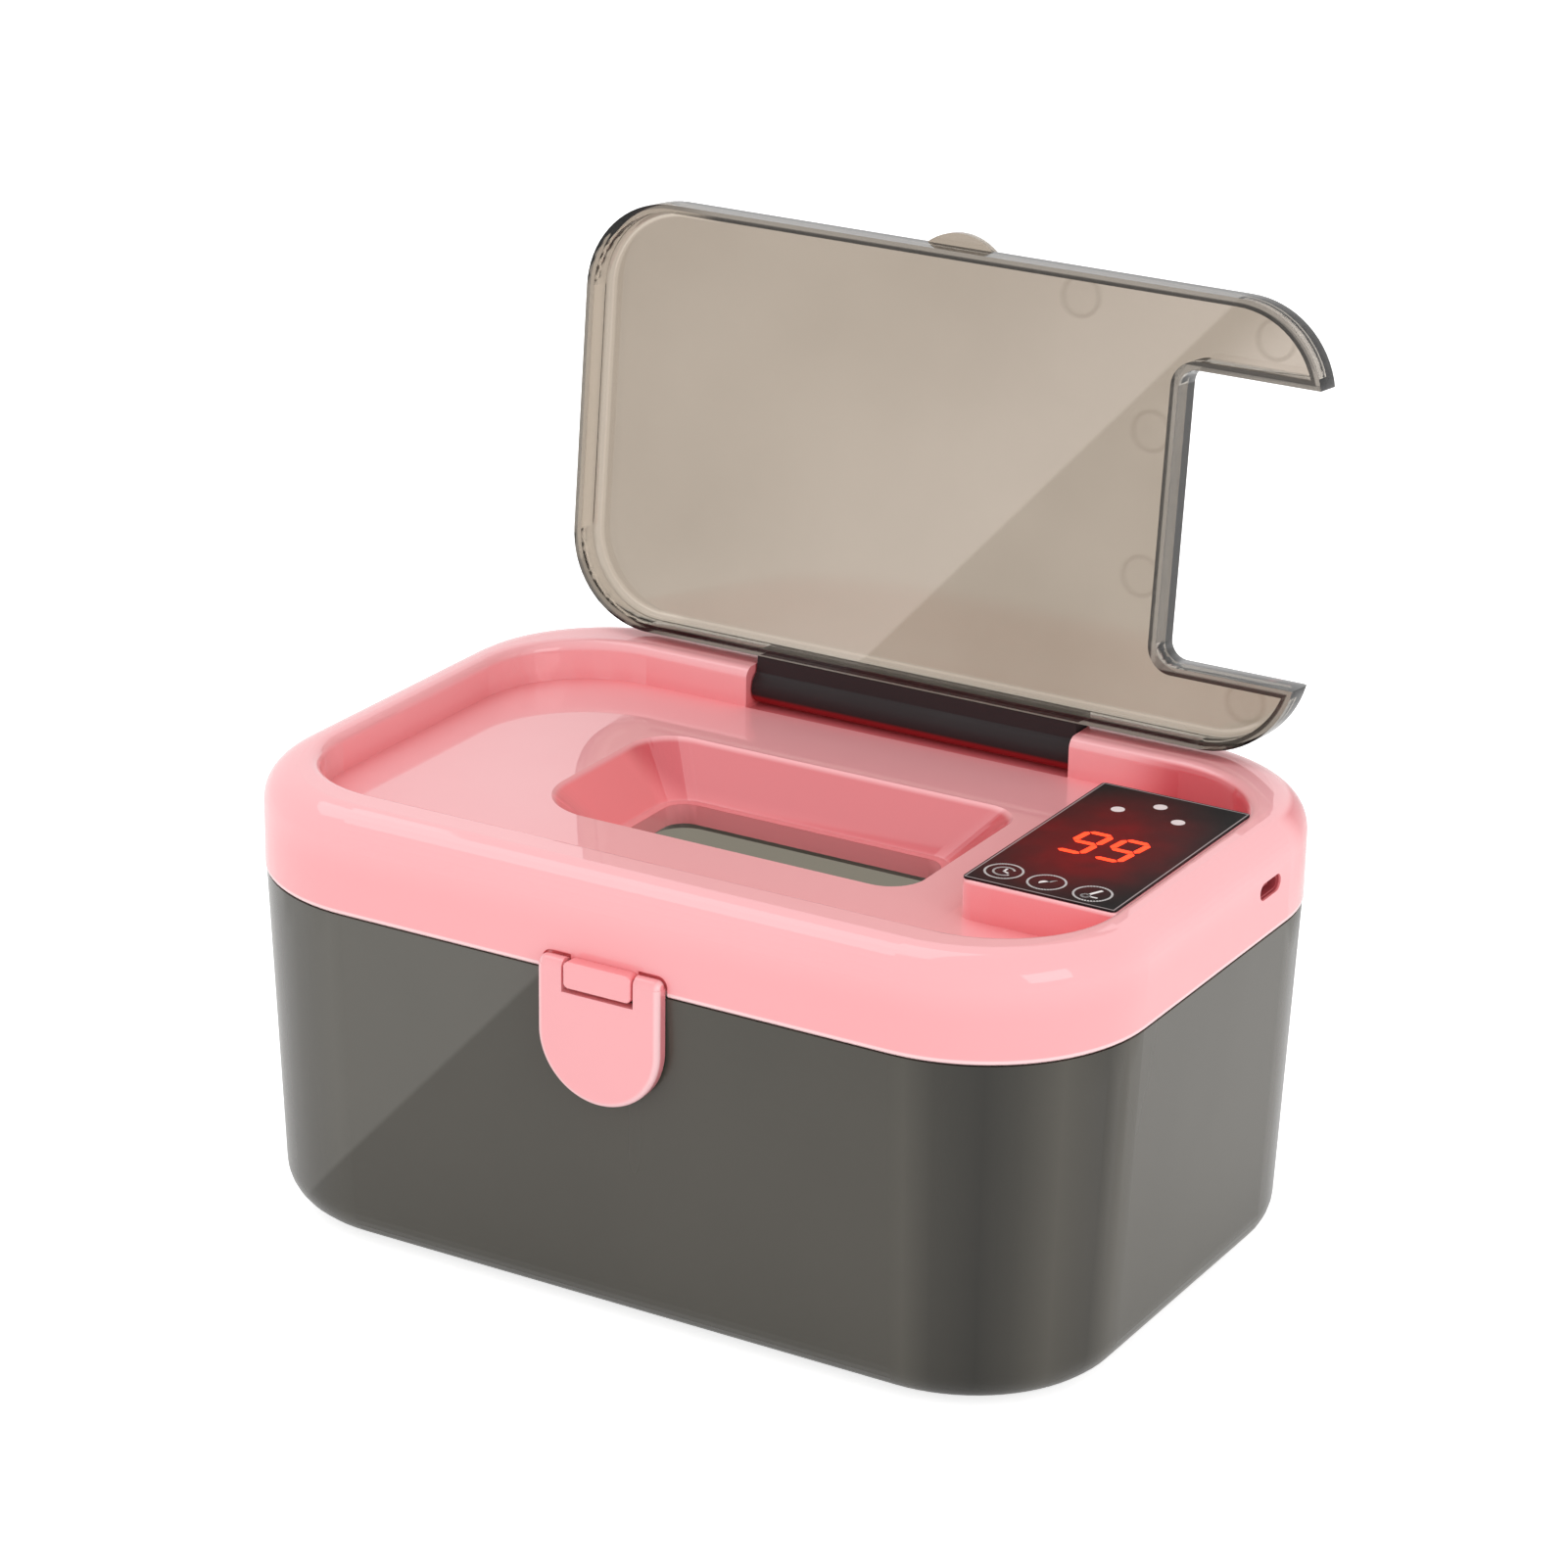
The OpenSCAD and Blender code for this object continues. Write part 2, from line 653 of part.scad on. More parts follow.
module trough_body() {
  half = hinge_notch_w / 2 + trough_wall;
  box([-half, recess_back - over, trough_floor_z - trough_wall],
    [half, trough_end_y + trough_wall, rim_z - cover_wall / 2]);
  for (s = [-1, 1]) translate([s * (hinge_notch_w / 2 + pin_boss_l / 2), lid_axis_y, lid_axis_z])
    cube([pin_boss_l, 2 * pin_boss_half, 2 * pin_boss_half + over], center = true);
}

module trough_cut() {
  box([-hinge_notch_w / 2, recess_back - trough_lead, trough_floor_z], [hinge_notch_w / 2, trough_end_y, rim_z + over]);
}

module block_solid() {
  translate([block_cx, block_cy, 0]) loaf(block_right - block_left, block_front + block_back, block_r,
    concat([[0, deck_under_z]], arc(-block_edge_r, block_z - block_edge_r, block_edge_r, 0, 90)));
}

module block_hollow() {
  box([block_left + block_wall, block_wall - block_front, deck_under_z - over],
    [block_right, block_back - block_wall, block_under_z]);
}

// sloping body between an upper outline and the band around the slot
module funnel_hull(grow, z_top, z_low) {
  hull() for (c = funnel_corners) {
    translate([funnel_x + c[0] * (funnel_w / 2 - c[2]), funnel_y + c[1] * (funnel_d / 2 - c[2]), z_top - eps])
      cylinder(r = c[2] + grow, h = eps);
    translate([slot_cx + c[0] * (slot_w / 2 - slot_r), slot_cy + c[1] * (slot_d / 2 - slot_r), z_low])
      cylinder(r = slot_r + funnel_band + grow, h = eps);
  }
}

module cover_knuckles() {
  for (s = [-1, 1]) for (t = [-1, 1]) translate([s * rear_x + t * rear_knuckle_off, 0, 0]) {
    translate([0, rear_axis_y, rear_axis_z]) rod_x(knuckle_r, cover_knuckle_w);
    translate([-cover_knuckle_w / 2, 0, 0]) rotate([90, 0, 90]) linear_extrude(height = cover_knuckle_w)
      polygon([[skirt_back - cover_wall / 2, rear_axis_z + seam_gap], [rear_axis_y, rear_axis_z + seam_gap],
        [rear_axis_y, rear_axis_z + knuckle_r], [skirt_back - cover_wall / 2, rear_axis_z + gusset_h]]);
  }
}

// pockets that the latch's ears turn in, each with a round outer corner
module latch_pockets() {
  in_x = latch_knuckle_w / 2;
  out_x = latch_w / 2 + pocket_side;
  y0 = skirt_front - over;
  z0 = skirt_z - over;
  for (turn = [0, 1]) mirror([turn, 0, 0]) {
    box([in_x, y0, z0], [out_x - pocket_r, pocket_y, pocket_top_z]);
    box([out_x - pocket_r - eps, y0, z0], [out_x, pocket_y, pocket_top_z - pocket_r]);
    translate([out_x - pocket_r, pocket_y, pocket_top_z - pocket_r]) rotate([90, 0, 0])
      cylinder(r = pocket_r, h = pocket_y - y0);
  }
}

module latch_knuckle() {
  mid_z = (latch_top_z + latch_knuckle_z) / 2;
  depth = latch_back - knuckle_front;
  translate([0, latch_back, mid_z]) rotate([90, 0, 0])
    loaf(latch_knuckle_w, latch_knuckle_h, latch_edge_r,
      concat([[0, 0]], arc(-latch_edge_r / 2, depth - latch_edge_r / 2, latch_edge_r / 2, 0, 90)));
  box([-latch_knuckle_w / 2 + over, latch_back - eps, skirt_z + skirt_chamfer],
    [latch_knuckle_w / 2 - over, skirt_front + cover_wall / 2, latch_top_z - over / 2]);
}

module cover_shell() {
  color(pink) difference() {
    union() {
      difference() {
        union() {
          difference() {
            union() {
              shell_skin();
              recess_pan();
              trough_body();
            }
            recess_cut();
            trough_cut();
            latch_pockets();
          }
          block_solid();
          funnel_hull(deck_t, deck_z - deck_t / 2, floor_z - deck_t);
          slot_window(slot_foot_wall, slot_foot_z, floor_z - eps);
          outline_band(ring_inset, ring_in, ring_z, shelf_top_z);
          outline_band(cover_wall / 2, ring_inset + over, shelf_z, shelf_top_z);
          posts(cover_screw_at, boss_r, tray_top_z, deck_z - deck_t / 2);
          cover_knuckles();
          latch_knuckle();
        }
        block_hollow();
      }
      posts(board_screw_at, board_boss_r, board_top_z, block_z - block_wall / 2);
    }
    funnel_hull(0, deck_z + 2 * eps, floor_z);
    slot_window(0, slot_foot_z - over, floor_z + over);
    posts(cover_screw_at, screw_r + hold_fit, tray_top_z - over, tray_top_z + screw_l);
    posts(board_screw_at, board_screw_r + hold_fit, board_top_z - over, board_top_z + board_screw_l - board_t);
    posts(lamp_at, led_r + window_play, block_under_z - over, block_z + over);
    translate([display_cx, display_cy, block_z])
      cube([display_w + 2 * window_play, display_d + 2 * window_play, 2 * (block_wall + over)], center = true);
    translate([0, usb_y, usb_z]) port_cut(port_w, port_h, skirt_right - cover_wall - over, skirt_right + over);
    translate([0, lid_axis_y, lid_axis_z]) rod_x(lid_pin_r + hold_fit, lid_pin_l + 0.2);
    for (s = [-1, 1]) translate([s * rear_x, rear_axis_y, rear_axis_z])
      rod_x(rear_pin_r + run_fit, rear_pin_l + 2 * over);
    translate([0, latch_axis_y, latch_axis_z]) rod_x(latch_pin_r + hold_fit, latch_slot_w);
  }
}

// ---------------------------------------------------------------- parts under the cover
module hatches(z0, z1) {
  y = heater_socket[1] - lead_side;
  box([heater_socket[0] - hatch_w / 2, y - hatch_d / 2, z0], [heater_socket[0] + hatch_w / 2, y + hatch_d / 2, z1]);
  for (c = sensors)
    box([c[0] - c[1] / 2 - lead_reach - over, sensor_y - hatch_d / 2, z0],
      [c[0] + c[1] / 2 + lead_reach + over, sensor_y + hatch_d / 2, z1]);
}

module cover_base() {
  color(pink) difference() {
    union() {
      outline_slab(tray_inset, tray_z, tray_top_z);
      outline_band(tray_inset, tray_wall_in, tray_z, ring_z);
      posts(heater_screw_at, boss_r, tray_z, tray_top_z + heater_boss_h);
    }
    slot_window(slot_foot_wall + window_gap, tray_z - over, tray_top_z + over);
    hatches(tray_z - over, tray_top_z + over);
    posts(cover_screw_at, screw_r + screw_gap, tray_z - over, tray_top_z + over);
    posts(cover_screw_at, screw_head_r + screw_gap, tray_z - over, tray_z + counterbore_h);
    posts(heater_screw_at, heater_screw_r + hold_fit, tray_z - over, tray_top_z + heater_boss_h + over);
  }
}

module cover_gasket() {
  color(silicone) outline_band(gasket_inset, gasket_inset + gasket_w, gasket_z, shelf_z);
}

module cover_screws() {
  color(steel) {
    posts(cover_screw_at, screw_head_r, tray_z + counterbore_h - screw_head_h, tray_z + counterbore_h);
    posts(cover_screw_at, screw_r, tray_z + counterbore_h - eps, tray_z + screw_l);
  }
}

module heater_layer(z0, z1) {
  difference() {
    outline_slab(plate_inset, z0, z1);
    slot_window(heater_gap, z0 - over, z1 + over);
    posts(heater_screw_at, heater_screw_r + screw_gap, z0 - over, z1 + over);
  }
}

module heating_plate() { color(steel) heater_layer(plate_z, heater_film_z); }

module heater_film() { color(copper) heater_layer(heater_film_z, pad_z); }

module insulation_pad() {
  color(foam) difference() {
    heater_layer(pad_z, tray_z);
    hatches(pad_z - over, tray_z + over);
  }
}

module heater_screws() {
  color(steel) {
    posts(heater_screw_at, 2 * heater_screw_r, plate_z - screw_head_h, plate_z);
    posts(heater_screw_at, heater_screw_r, plate_z - eps, plate_z + heater_screw_l);
  }
}

module thermistor() {
  color(dark) translate([thermistor_x, sensor_y, pad_z + thermistor_r]) rod_x(thermistor_r, thermistor_l);
}

module thermal_fuse() {
  color(steel) translate([fuse_x, sensor_y, pad_z + fuse_r]) rod_x(fuse_r, fuse_l);
}

// ---------------------------------------------------------------- electronics
module main_board() {
  color(green) difference() {
    box([board_left, board_front, board_z], [board_right, board_back, board_top_z]);
    posts(board_screw_at, board_screw_r + screw_gap, board_z - over, board_top_z + over);
  }
}

module board_screws() {
  color(steel) {
    posts(board_screw_at, 2 * board_screw_r, board_z - screw_head_h, board_z);
    posts(board_screw_at, board_screw_r, board_z - eps, board_z + board_screw_l);
  }
}

module controller_chip() {
  color(dark) translate([chip_at[0], chip_at[1], board_z - 0.6]) cube([8, 8, 1.2], center = true);
}

module wire_socket(at, w) {
  difference() {
    translate([at[0] - w / 2, at[1] - 2.5, socket_z]) cube([w, 5, socket_h]);
    translate([at[0] - w / 2 + 0.8, at[1] - 3.5, socket_z + 0.9]) cube([w - 1.6, 1.8, socket_h - 1.8]);
  }
}

module wire_sockets() {
  color(silicone) {
    wire_socket(heater_socket, small_socket_w);
    for (c = sensors) wire_socket([c[0], sensor_y], c[1] + 2 * lead_reach + 3);
    wire_socket(usb_socket_at, small_socket_w);
  }
}

module display_module() {
  color(dark) translate([display_cx - display_w / 2, display_cy - display_d / 2, board_top_z])
    cube([display_w, display_d, block_z - board_top_z]);
}

module indicator_lamps() { color(red) posts(lamp_at, led_r, board_top_z, board_top_z + lamp_h); }

module touch_pads() {
  color(foam) for (i = [-1:1])
    posts([[touch_cx + i * touch_pitch, touch_cy]], touch_r, board_top_z, block_under_z);
}

module panel_film() {
  color(dark) translate([film_cx, block_cy, 0]) slab(film_right - block_left - film_inset,
    block_front + block_back - 2 * film_inset, film_r, block_z, block_z + film_t);
}

module usb_board() {
  color(green) box([usb_board_left, usb_y - usb_board_d / 2, shelf_top_z],
    [usb_board_right, usb_y + usb_board_d / 2, shelf_top_z + usb_board_t]);
}

module usb_socket() {
  wall = 0.3;
  color(steel) translate([0, usb_y, usb_z]) {
    difference() {
      port_cut(usb_w, usb_h, usb_mouth_x - usb_l, usb_mouth_x);
      port_cut(usb_w - 2 * wall, usb_h - 2 * wall, usb_mouth_x - usb_l + 1.2, usb_mouth_x + over);
    }
    box([usb_mouth_x - usb_l + over, -usb_w / 4, -0.35], [usb_mouth_x - 1, usb_w / 4, 0.35]);
  }
}

module heater_leads() {
  x = heater_socket[0];
  y = heater_socket[1];
  color(red) for (s = [-1, 1])
    lead([[x + s * lead_half, y, socket_z], [x + s * lead_half, y, socket_z - lead_drop],
      [x + s * lead_half, y - lead_side, socket_z - lead_drop - lead_slope],
      [x + s * lead_half, y - lead_side, pad_z]]);
}

module sensor_leads() {
  color(copper) for (c = sensors) for (s = [-1, 1]) {
    end_x = c[0] + s * c[1] / 2;
    z = pad_z + c[2];
    lead([[end_x + s * lead_reach, sensor_y, socket_z], [end_x + s * lead_reach, sensor_y, z], [end_x, sensor_y, z]]);
  }
}

module usb_leads() {
  top_z = shelf_top_z + usb_board_t;
  z = socket_z + socket_h / 2;
  y = usb_socket_at[1];
  x = usb_board_left + 2;
  color(red) for (s = [-1, 1])
    lead([[x, y + s * lead_half, top_z], [x, y + s * lead_half, z],
      [usb_socket_at[0] + small_socket_w / 2, y + s * lead_half, z]]);
}

// ---------------------------------------------------------------- lid, drawn closed and then opened
module notch_slab(grow, z0, z1) {
  translate([(notch_left + notch_right) / 2, (notch_front + notch_back) / 2, 0])
    slab(notch_right - notch_left + 2 * grow, notch_back - notch_front + 2 * grow, notch_r + grow, z0, z1);
}

module lid_outer() {
  translate([0, lid_cy, 0]) loaf(lid_w, lid_l, lid_r,
    concat([[0, lid_bottom_z]], arc(-lid_edge_r, lid_top_z - lid_edge_r, lid_edge_r, 0, 90)));
}

module flip_lid() {
  plate_under_z = lid_top_z - lid_plate;
  color(lid_smoke) opened() {
    difference() {
      union() {
        difference() {
          lid_outer();
          translate([0, lid_cy, 0]) loaf(lid_w, lid_l, lid_r, concat([[-lid_wall, lid_bottom_z - over]],
            arc(-lid_wall - lid_inner_r, plate_under_z - lid_inner_r, lid_inner_r, 0, 90)));
        }
        intersection() {
          lid_outer();
          notch_slab(lid_wall, lid_bottom_z, lid_top_z + over);
        }
        intersection() {
          translate([0, lid_front - tab_l + tab_r, plate_under_z]) cylinder(r = tab_r, h = lid_plate);
          box([-tab_w, lid_front - tab_l - over, plate_under_z - over], [tab_w, lid_front + over, lid_top_z + over]);
        }
      }
      notch_slab(0, lid_bottom_z - over, lid_top_z + over);
    }
  }
}

module lid_hinge_barrel() {
  color(dark) opened() difference() {
    union() {
      translate([0, lid_axis_y, lid_axis_z]) rod_x(barrel_r, barrel_l);
      box([-barrel_l / 2, lid_back, lid_axis_z - arm_below], [barrel_l / 2, lid_axis_y, lid_axis_z + arm_above]);
    }
    translate([0, lid_axis_y, lid_axis_z]) rod_x(lid_pin_r + run_fit, barrel_l + 2 * over);
  }
}

module lid_hinge_pin() {
  color(steel) translate([0, lid_axis_y, lid_axis_z]) rod_x(lid_pin_r, lid_pin_l);
}

// ---------------------------------------------------------------- front latch
module latch() {
  r = latch_edge_r;
  half_w = latch_w / 2;
  depth = latch_back - latch_front;
  color(pink) difference() {
    union() {
      translate([0, latch_back, latch_round_z]) rotate([90, 0, 0]) rotate([0, 0, 180]) rotate_extrude(angle = 180)
        polygon(concat([[0, 0], [half_w, 0]], arc(half_w - r, depth - r, r, 0, 90), [[0, depth]]));
      translate([0, 0, latch_round_z]) linear_extrude(height = latch_axis_z - latch_round_z)
        polygon(concat([[half_w, latch_back]], arc(half_w - r, latch_front + r, r, 0, -90),
          arc(r - half_w, latch_front + r, r, -90, -180), [[-half_w, latch_back]]));
      translate([0, latch_axis_y, latch_axis_z]) rotate([0, 90, 0]) rotate_extrude()
        polygon(concat([[0, -half_w]], arc(ear_r - ear_end_r, ear_end_r - half_w, ear_end_r, -90, 0),
          arc(ear_r - ear_end_r, half_w - ear_end_r, ear_end_r, 0, 90), [[0, half_w]]));
    }
    box([-latch_slot_w / 2, latch_front - over, latch_slot_z], [latch_slot_w / 2, pocket_y + over, latch_top_z + over]);
    translate([0, latch_axis_y, latch_axis_z]) rod_x(latch_pin_r + run_fit, latch_pin_l + 0.2);
  }
}

module latch_pin() {
  color(steel) translate([0, latch_axis_y, latch_axis_z]) rod_x(latch_pin_r, latch_pin_l);
}

container();
rubber_feet();
rear_hinge_pins();
cover_shell();
cover_base();
cover_gasket();
cover_screws();
heating_plate();
heater_film();
insulation_pad();
heater_screws();
thermistor();
thermal_fuse();
main_board();
board_screws();
controller_chip();
wire_sockets();
display_module();
indicator_lamps();
touch_pads();
panel_film();
usb_board();
usb_socket();
heater_leads();
sensor_leads();
usb_leads();
flip_lid();
lid_hinge_barrel();
lid_hinge_pin();
latch();
latch_pin();
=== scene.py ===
import math

import bpy
from mathutils import Matrix, Vector
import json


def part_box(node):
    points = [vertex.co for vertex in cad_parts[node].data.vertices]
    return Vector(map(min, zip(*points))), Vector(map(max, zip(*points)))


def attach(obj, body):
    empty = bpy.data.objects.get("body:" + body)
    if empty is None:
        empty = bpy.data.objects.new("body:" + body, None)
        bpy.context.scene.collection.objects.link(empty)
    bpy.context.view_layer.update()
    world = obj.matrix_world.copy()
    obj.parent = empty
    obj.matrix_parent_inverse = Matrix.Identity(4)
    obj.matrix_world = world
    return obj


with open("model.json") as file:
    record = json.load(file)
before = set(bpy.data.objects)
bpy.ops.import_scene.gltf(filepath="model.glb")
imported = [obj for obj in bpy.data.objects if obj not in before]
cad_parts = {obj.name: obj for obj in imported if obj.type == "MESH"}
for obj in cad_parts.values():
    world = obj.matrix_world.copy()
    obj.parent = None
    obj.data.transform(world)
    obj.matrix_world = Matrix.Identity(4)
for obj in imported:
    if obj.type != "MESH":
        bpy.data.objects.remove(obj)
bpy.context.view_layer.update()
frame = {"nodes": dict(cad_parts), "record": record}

MM = 0.001
X, Y, Z = (1, 0, 0), (0, 1, 0), (0, 0, 1)
BLACK = (0, 0, 0, 1)


def linear(hex_colour):
    """#RRGGBB as linear red, green, blue and 1."""
    parts = [int(hex_colour[i:i + 2], 16) / 255 for i in (1, 3, 5)]
    return tuple(c / 12.92 if c <= 0.04045 else ((c + 0.055) / 1.055) ** 2.4 for c in parts) + (1.0,)


# ---------------------------------------------------------------- camera
AZIMUTH = math.radians(30.355)
ELEVATION = math.radians(21.119)
ROLL = math.radians(0.858)
DISTANCE = 1016.2 * MM
AIM = Vector((0, 0, 61 * MM))
AIM_UP = 32.262 * MM        # shift of the camera along its own upward direction
LENS = 112.02               # for SENSOR_W, both in mm
SENSOR_W = 36
CLIP_END = 20


def add_camera():
    level = math.cos(ELEVATION)
    back = Vector((math.sin(AZIMUTH) * level, -math.cos(AZIMUTH) * level, math.sin(ELEVATION)))
    right = Vector((math.cos(AZIMUTH), math.sin(AZIMUTH), 0))
    up = back.cross(right)
    place = AIM + back * DISTANCE + up * AIM_UP
    x = right * math.cos(ROLL) + up * math.sin(ROLL)
    y = up * math.cos(ROLL) - right * math.sin(ROLL)
    data = bpy.data.cameras.new("camera")
    data.lens = LENS
    data.sensor_width = SENSOR_W
    data.clip_end = CLIP_END
    cam = bpy.data.objects.new("camera", data)
    cam.matrix_world = Matrix.Translation(place) @ Matrix((x, y, back)).transposed().to_4x4()
    bpy.context.scene.collection.objects.link(cam)
    bpy.context.scene.camera = cam


add_camera()

# ---------------------------------------------------------------- material tools
NOISE_LOW, NOISE_HIGH = 0.3, 0.7        # most of a noise pattern lies between these values


class Nodes:
    """A material's node tree with short calls to add and link nodes."""

    def __init__(self, name):
        self.material = bpy.data.materials.new(name)
        self.material.use_nodes = True
        self.tree = self.material.node_tree
        self.shader = self.tree.nodes["Principled BSDF"]
        self.place = self.tree.nodes.new("ShaderNodeTexCoord").outputs["Object"]

    def link(self, source, target):
        self.tree.links.new(source, target)

    def put(self, socket, value):
        """Sets a socket, from a number, a colour or another node's output."""
        if isinstance(value, bpy.types.NodeSocket):
            self.link(value, socket)
        else:
            socket.default_value = value

    def set(self, **values):
        """Sets the shader's sockets; an underscore stands for a space."""
        for key, value in values.items():
            self.put(self.shader.inputs[key.replace("_", " ")], value)

    def noise(self, scale, detail=3.0, stretch=(1, 1, 1)):
        node = self.tree.nodes.new("ShaderNodeTexNoise")
        node.inputs["Scale"].default_value = scale
        node.inputs["Detail"].default_value = detail
        mapping = self.tree.nodes.new("ShaderNodeMapping")
        mapping.inputs["Scale"].default_value = stretch
        self.link(self.place, mapping.inputs["Vector"])
        self.link(mapping.outputs["Vector"], node.inputs["Vector"])
        return node.outputs["Fac"]

    def math(self, operation, a, b=0.0):
        node = self.tree.nodes.new("ShaderNodeMath")
        node.operation = operation
        self.put(node.inputs[0], a)
        self.put(node.inputs[1], b)
        return node.outputs[0]

    def times(self, *values):
        """Product of two or more values."""
        product = values[0]
        for value in values[1:]:
            product = self.math("MULTIPLY", product, value)
        return product

    def minus(self, a, b):
        return self.math("SUBTRACT", a, b)

    def highest(self, a, b):
        return self.math("MAXIMUM", a, b)

    def absolute(self, a):
        return self.math("ABSOLUTE", a)

    def length(self, a, b):
        """Length of a flat vector."""
        return self.math("SQRT", self.math("ADD", self.times(a, a), self.times(b, b)))

    def past(self, value, limit):
        """How far a value goes past a limit, else 0."""
        return self.highest(self.minus(value, limit), 0.0)

    def vector(self, operation, a, b, name="Vector"):
        node = self.tree.nodes.new("ShaderNodeVectorMath")
        node.operation = operation
        self.put(node.inputs[0], a)
        self.put(node.inputs[1], b)
        return node.outputs[name]

    def axis(self, direction):
        """Distance along a direction from the origin, in metres."""
        return self.vector("DOT_PRODUCT", self.place, direction, "Value")

    def distance(self, point, squash):
        """Distance from a point, with each axis scaled."""
        scaled = self.vector("MULTIPLY", self.vector("SUBTRACT", self.place, point), squash)
        return self.vector("LENGTH", scaled, (0, 0, 0), "Value")

    def ramp(self, value, start, end, low=0.0, high=1.0):
        """low before start, high after end, and smooth between them."""
        node = self.tree.nodes.new("ShaderNodeMapRange")
        node.interpolation_type = "SMOOTHSTEP"
        self.put(node.inputs["Value"], value)
        node.inputs["From Min"].default_value = start
        node.inputs["From Max"].default_value = end
        node.inputs["To Min"].default_value = low
        node.inputs["To Max"].default_value = high
        return node.outputs["Result"]

    def below(self, value, start, end):
        """1 before start, 0 after end, and smooth between them."""
        return self.ramp(value, start, end, 1.0, 0.0)

    def within(self, value, low, high, soft):
        """1 for a value between two limits, and 0 beyond their soft edges."""
        return self.times(self.ramp(value, low - soft, low), self.below(value, high, high + soft))

    def uneven(self, low, high, scale, detail=3.0, stretch=(1, 1, 1)):
        """A value that wanders between low and high over the surface."""
        return self.ramp(self.noise(scale, detail, stretch), NOISE_LOW, NOISE_HIGH, low, high)

    def mix(self, share, a, b):
        """Colour a where the share is 0, and b where it is 1."""
        node = self.tree.nodes.new("ShaderNodeMix")
        node.data_type = "RGBA"
        self.put(node.inputs["Factor"], share)
        self.put(node.inputs["A"], a)
        self.put(node.inputs["B"], b)
        return node.outputs["Result"]

    def relief(self, height, strength, depth):
        node = self.tree.nodes.new("ShaderNodeBump")
        node.inputs["Strength"].default_value = strength
        node.inputs["Distance"].default_value = depth
        self.link(height, node.inputs["Height"])
        self.link(node.outputs["Normal"], self.shader.inputs["Normal"])


def shade(colour, factor):
    return tuple(min(1, c * factor) for c in colour[:3]) + (1,)


def mottled(m, colour, amount, scale=30):
    """A colour with a faint uneven tone."""
    return m.mix(m.uneven(0.0, 1.0, scale), shade(colour, 1 - amount), shade(colour, 1 + amount))


# ---------------------------------------------------------------- plain plastics and metals
GRAIN = 0.3 * MM
PLASTIC_MOTTLE = 0.03
PLASTIC_UNEVEN = 0.04       # how far the roughness wanders either way
METAL_MOTTLE = 0.05


def moulded(m, roughness, bump=0.03, grain=GRAIN):
    """Slightly uneven gloss and a fine moulded grain."""
    m.set(Roughness=m.uneven(roughness - PLASTIC_UNEVEN, roughness + PLASTIC_UNEVEN, 60))
    m.relief(m.noise(1 / grain, 2.0), bump, grain)


def plastic(name, colour, roughness, *grain):
    m = Nodes(name)
    m.set(Base_Color=mottled(m, linear(colour), PLASTIC_MOTTLE))
    moulded(m, roughness, *grain)
    return m


def lined(m, roughness, stretch):
    """Fine lines in the gloss and surface of sheet or turned metal."""
    lines = m.noise(900, 2.0, stretch)
    m.set(Roughness=m.ramp(lines, NOISE_LOW, NOISE_HIGH, roughness - 0.06, roughness + 0.1))
    m.relief(lines, 0.08, 0.02 * MM)


def metal(name, colour, roughness, stretch):
    m = Nodes(name)
    m.set(Base_Color=mottled(m, linear(colour), METAL_MOTTLE), Metallic=1.0)
    lined(m, roughness, stretch)
    return m


# ---------------------------------------------------------------- container
BODY_W = 200 * MM
BODY_D = 136.9 * MM
CORNER_R = 36.5 * MM
SHOULDER_Z = 75.9 * MM
DRAFT = math.tan(math.radians(2.4))
EDGE_R = 8.7 * MM           # bottom edge
EDGE_Z = 9.7 * MM
WALL = 2.4 * MM
# Painted reflection bands around a corner: the place from the front (0) to the side (1), and the factor
# there.
PAINTED_CORNER_BANDS = [(0.0, 1.0), (0.06, 1.1), (0.17, 0.62), (0.34, 0.38), (0.46, 0.6), (0.62, 1.1),
                (0.8, 0.7), (0.93, 1.3), (1.0, 1.3)]
TONE_SCALE = 2.0            # the tones are stored divided by this, so that none is over 1
PAINTED_BAND_FADE = (-60 * MM, 20 * MM)         # the painted reflection bands are weak at the left and full at the right
PAINTED_SHEEN_NORMAL = (0.7317, 0, -0.6816)     # across the slanted edge of the front's lighter part, a painted reflection
PAINTED_SHEEN_EDGE = (-62.6 * MM, -61.2 * MM)


def past_corner(m):
    """How far a point goes past the start of the corners, along X and along Y."""
    return (m.past(m.absolute(m.axis(X)), BODY_W / 2 - CORNER_R),
            m.past(m.absolute(m.axis(Y)), BODY_D / 2 - CORNER_R))


def beyond_outline(m):
    """Distance of a point outside the cover's outline seen from above; negative inside it."""
    return m.minus(m.length(*past_corner(m)), CORNER_R)


def depth_in_wall(m):
    """Distance of a point of the container inside its outer face, in metres."""
    z = m.axis(Z)
    draft = m.times(m.minus(SHOULDER_Z, z), DRAFT)
    beyond_edge = m.past(m.math("ADD", beyond_outline(m), draft), -EDGE_R)
    below_edge = m.highest(m.minus(EDGE_Z, z), 0.0)
    return m.minus(EDGE_R, m.length(beyond_edge, below_edge))


def painted_corner_bands(m):
    """Painted reflections on the outer face, as bands around the corners, divided by TONE_SCALE."""
    turn = m.math("DIVIDE", m.math("ARCTAN2", *past_corner(m)), math.pi / 2)
    node = m.tree.nodes.new("ShaderNodeValToRGB")
    stops = node.color_ramp.elements
    while len(stops) < len(PAINTED_CORNER_BANDS):
        stops.new(0.5)
    for stop, (place, tone) in zip(stops, PAINTED_CORNER_BANDS):
        stop.position = place
        stop.color = (tone / TONE_SCALE,) * 3 + (1,)
    m.link(turn, node.inputs["Fac"])
    plain = (1 / TONE_SCALE,) * 3 + (1,)
    return m.mix(m.ramp(m.axis(X), *PAINTED_BAND_FADE, 0.35, 1.0), plain, node.outputs["Color"])


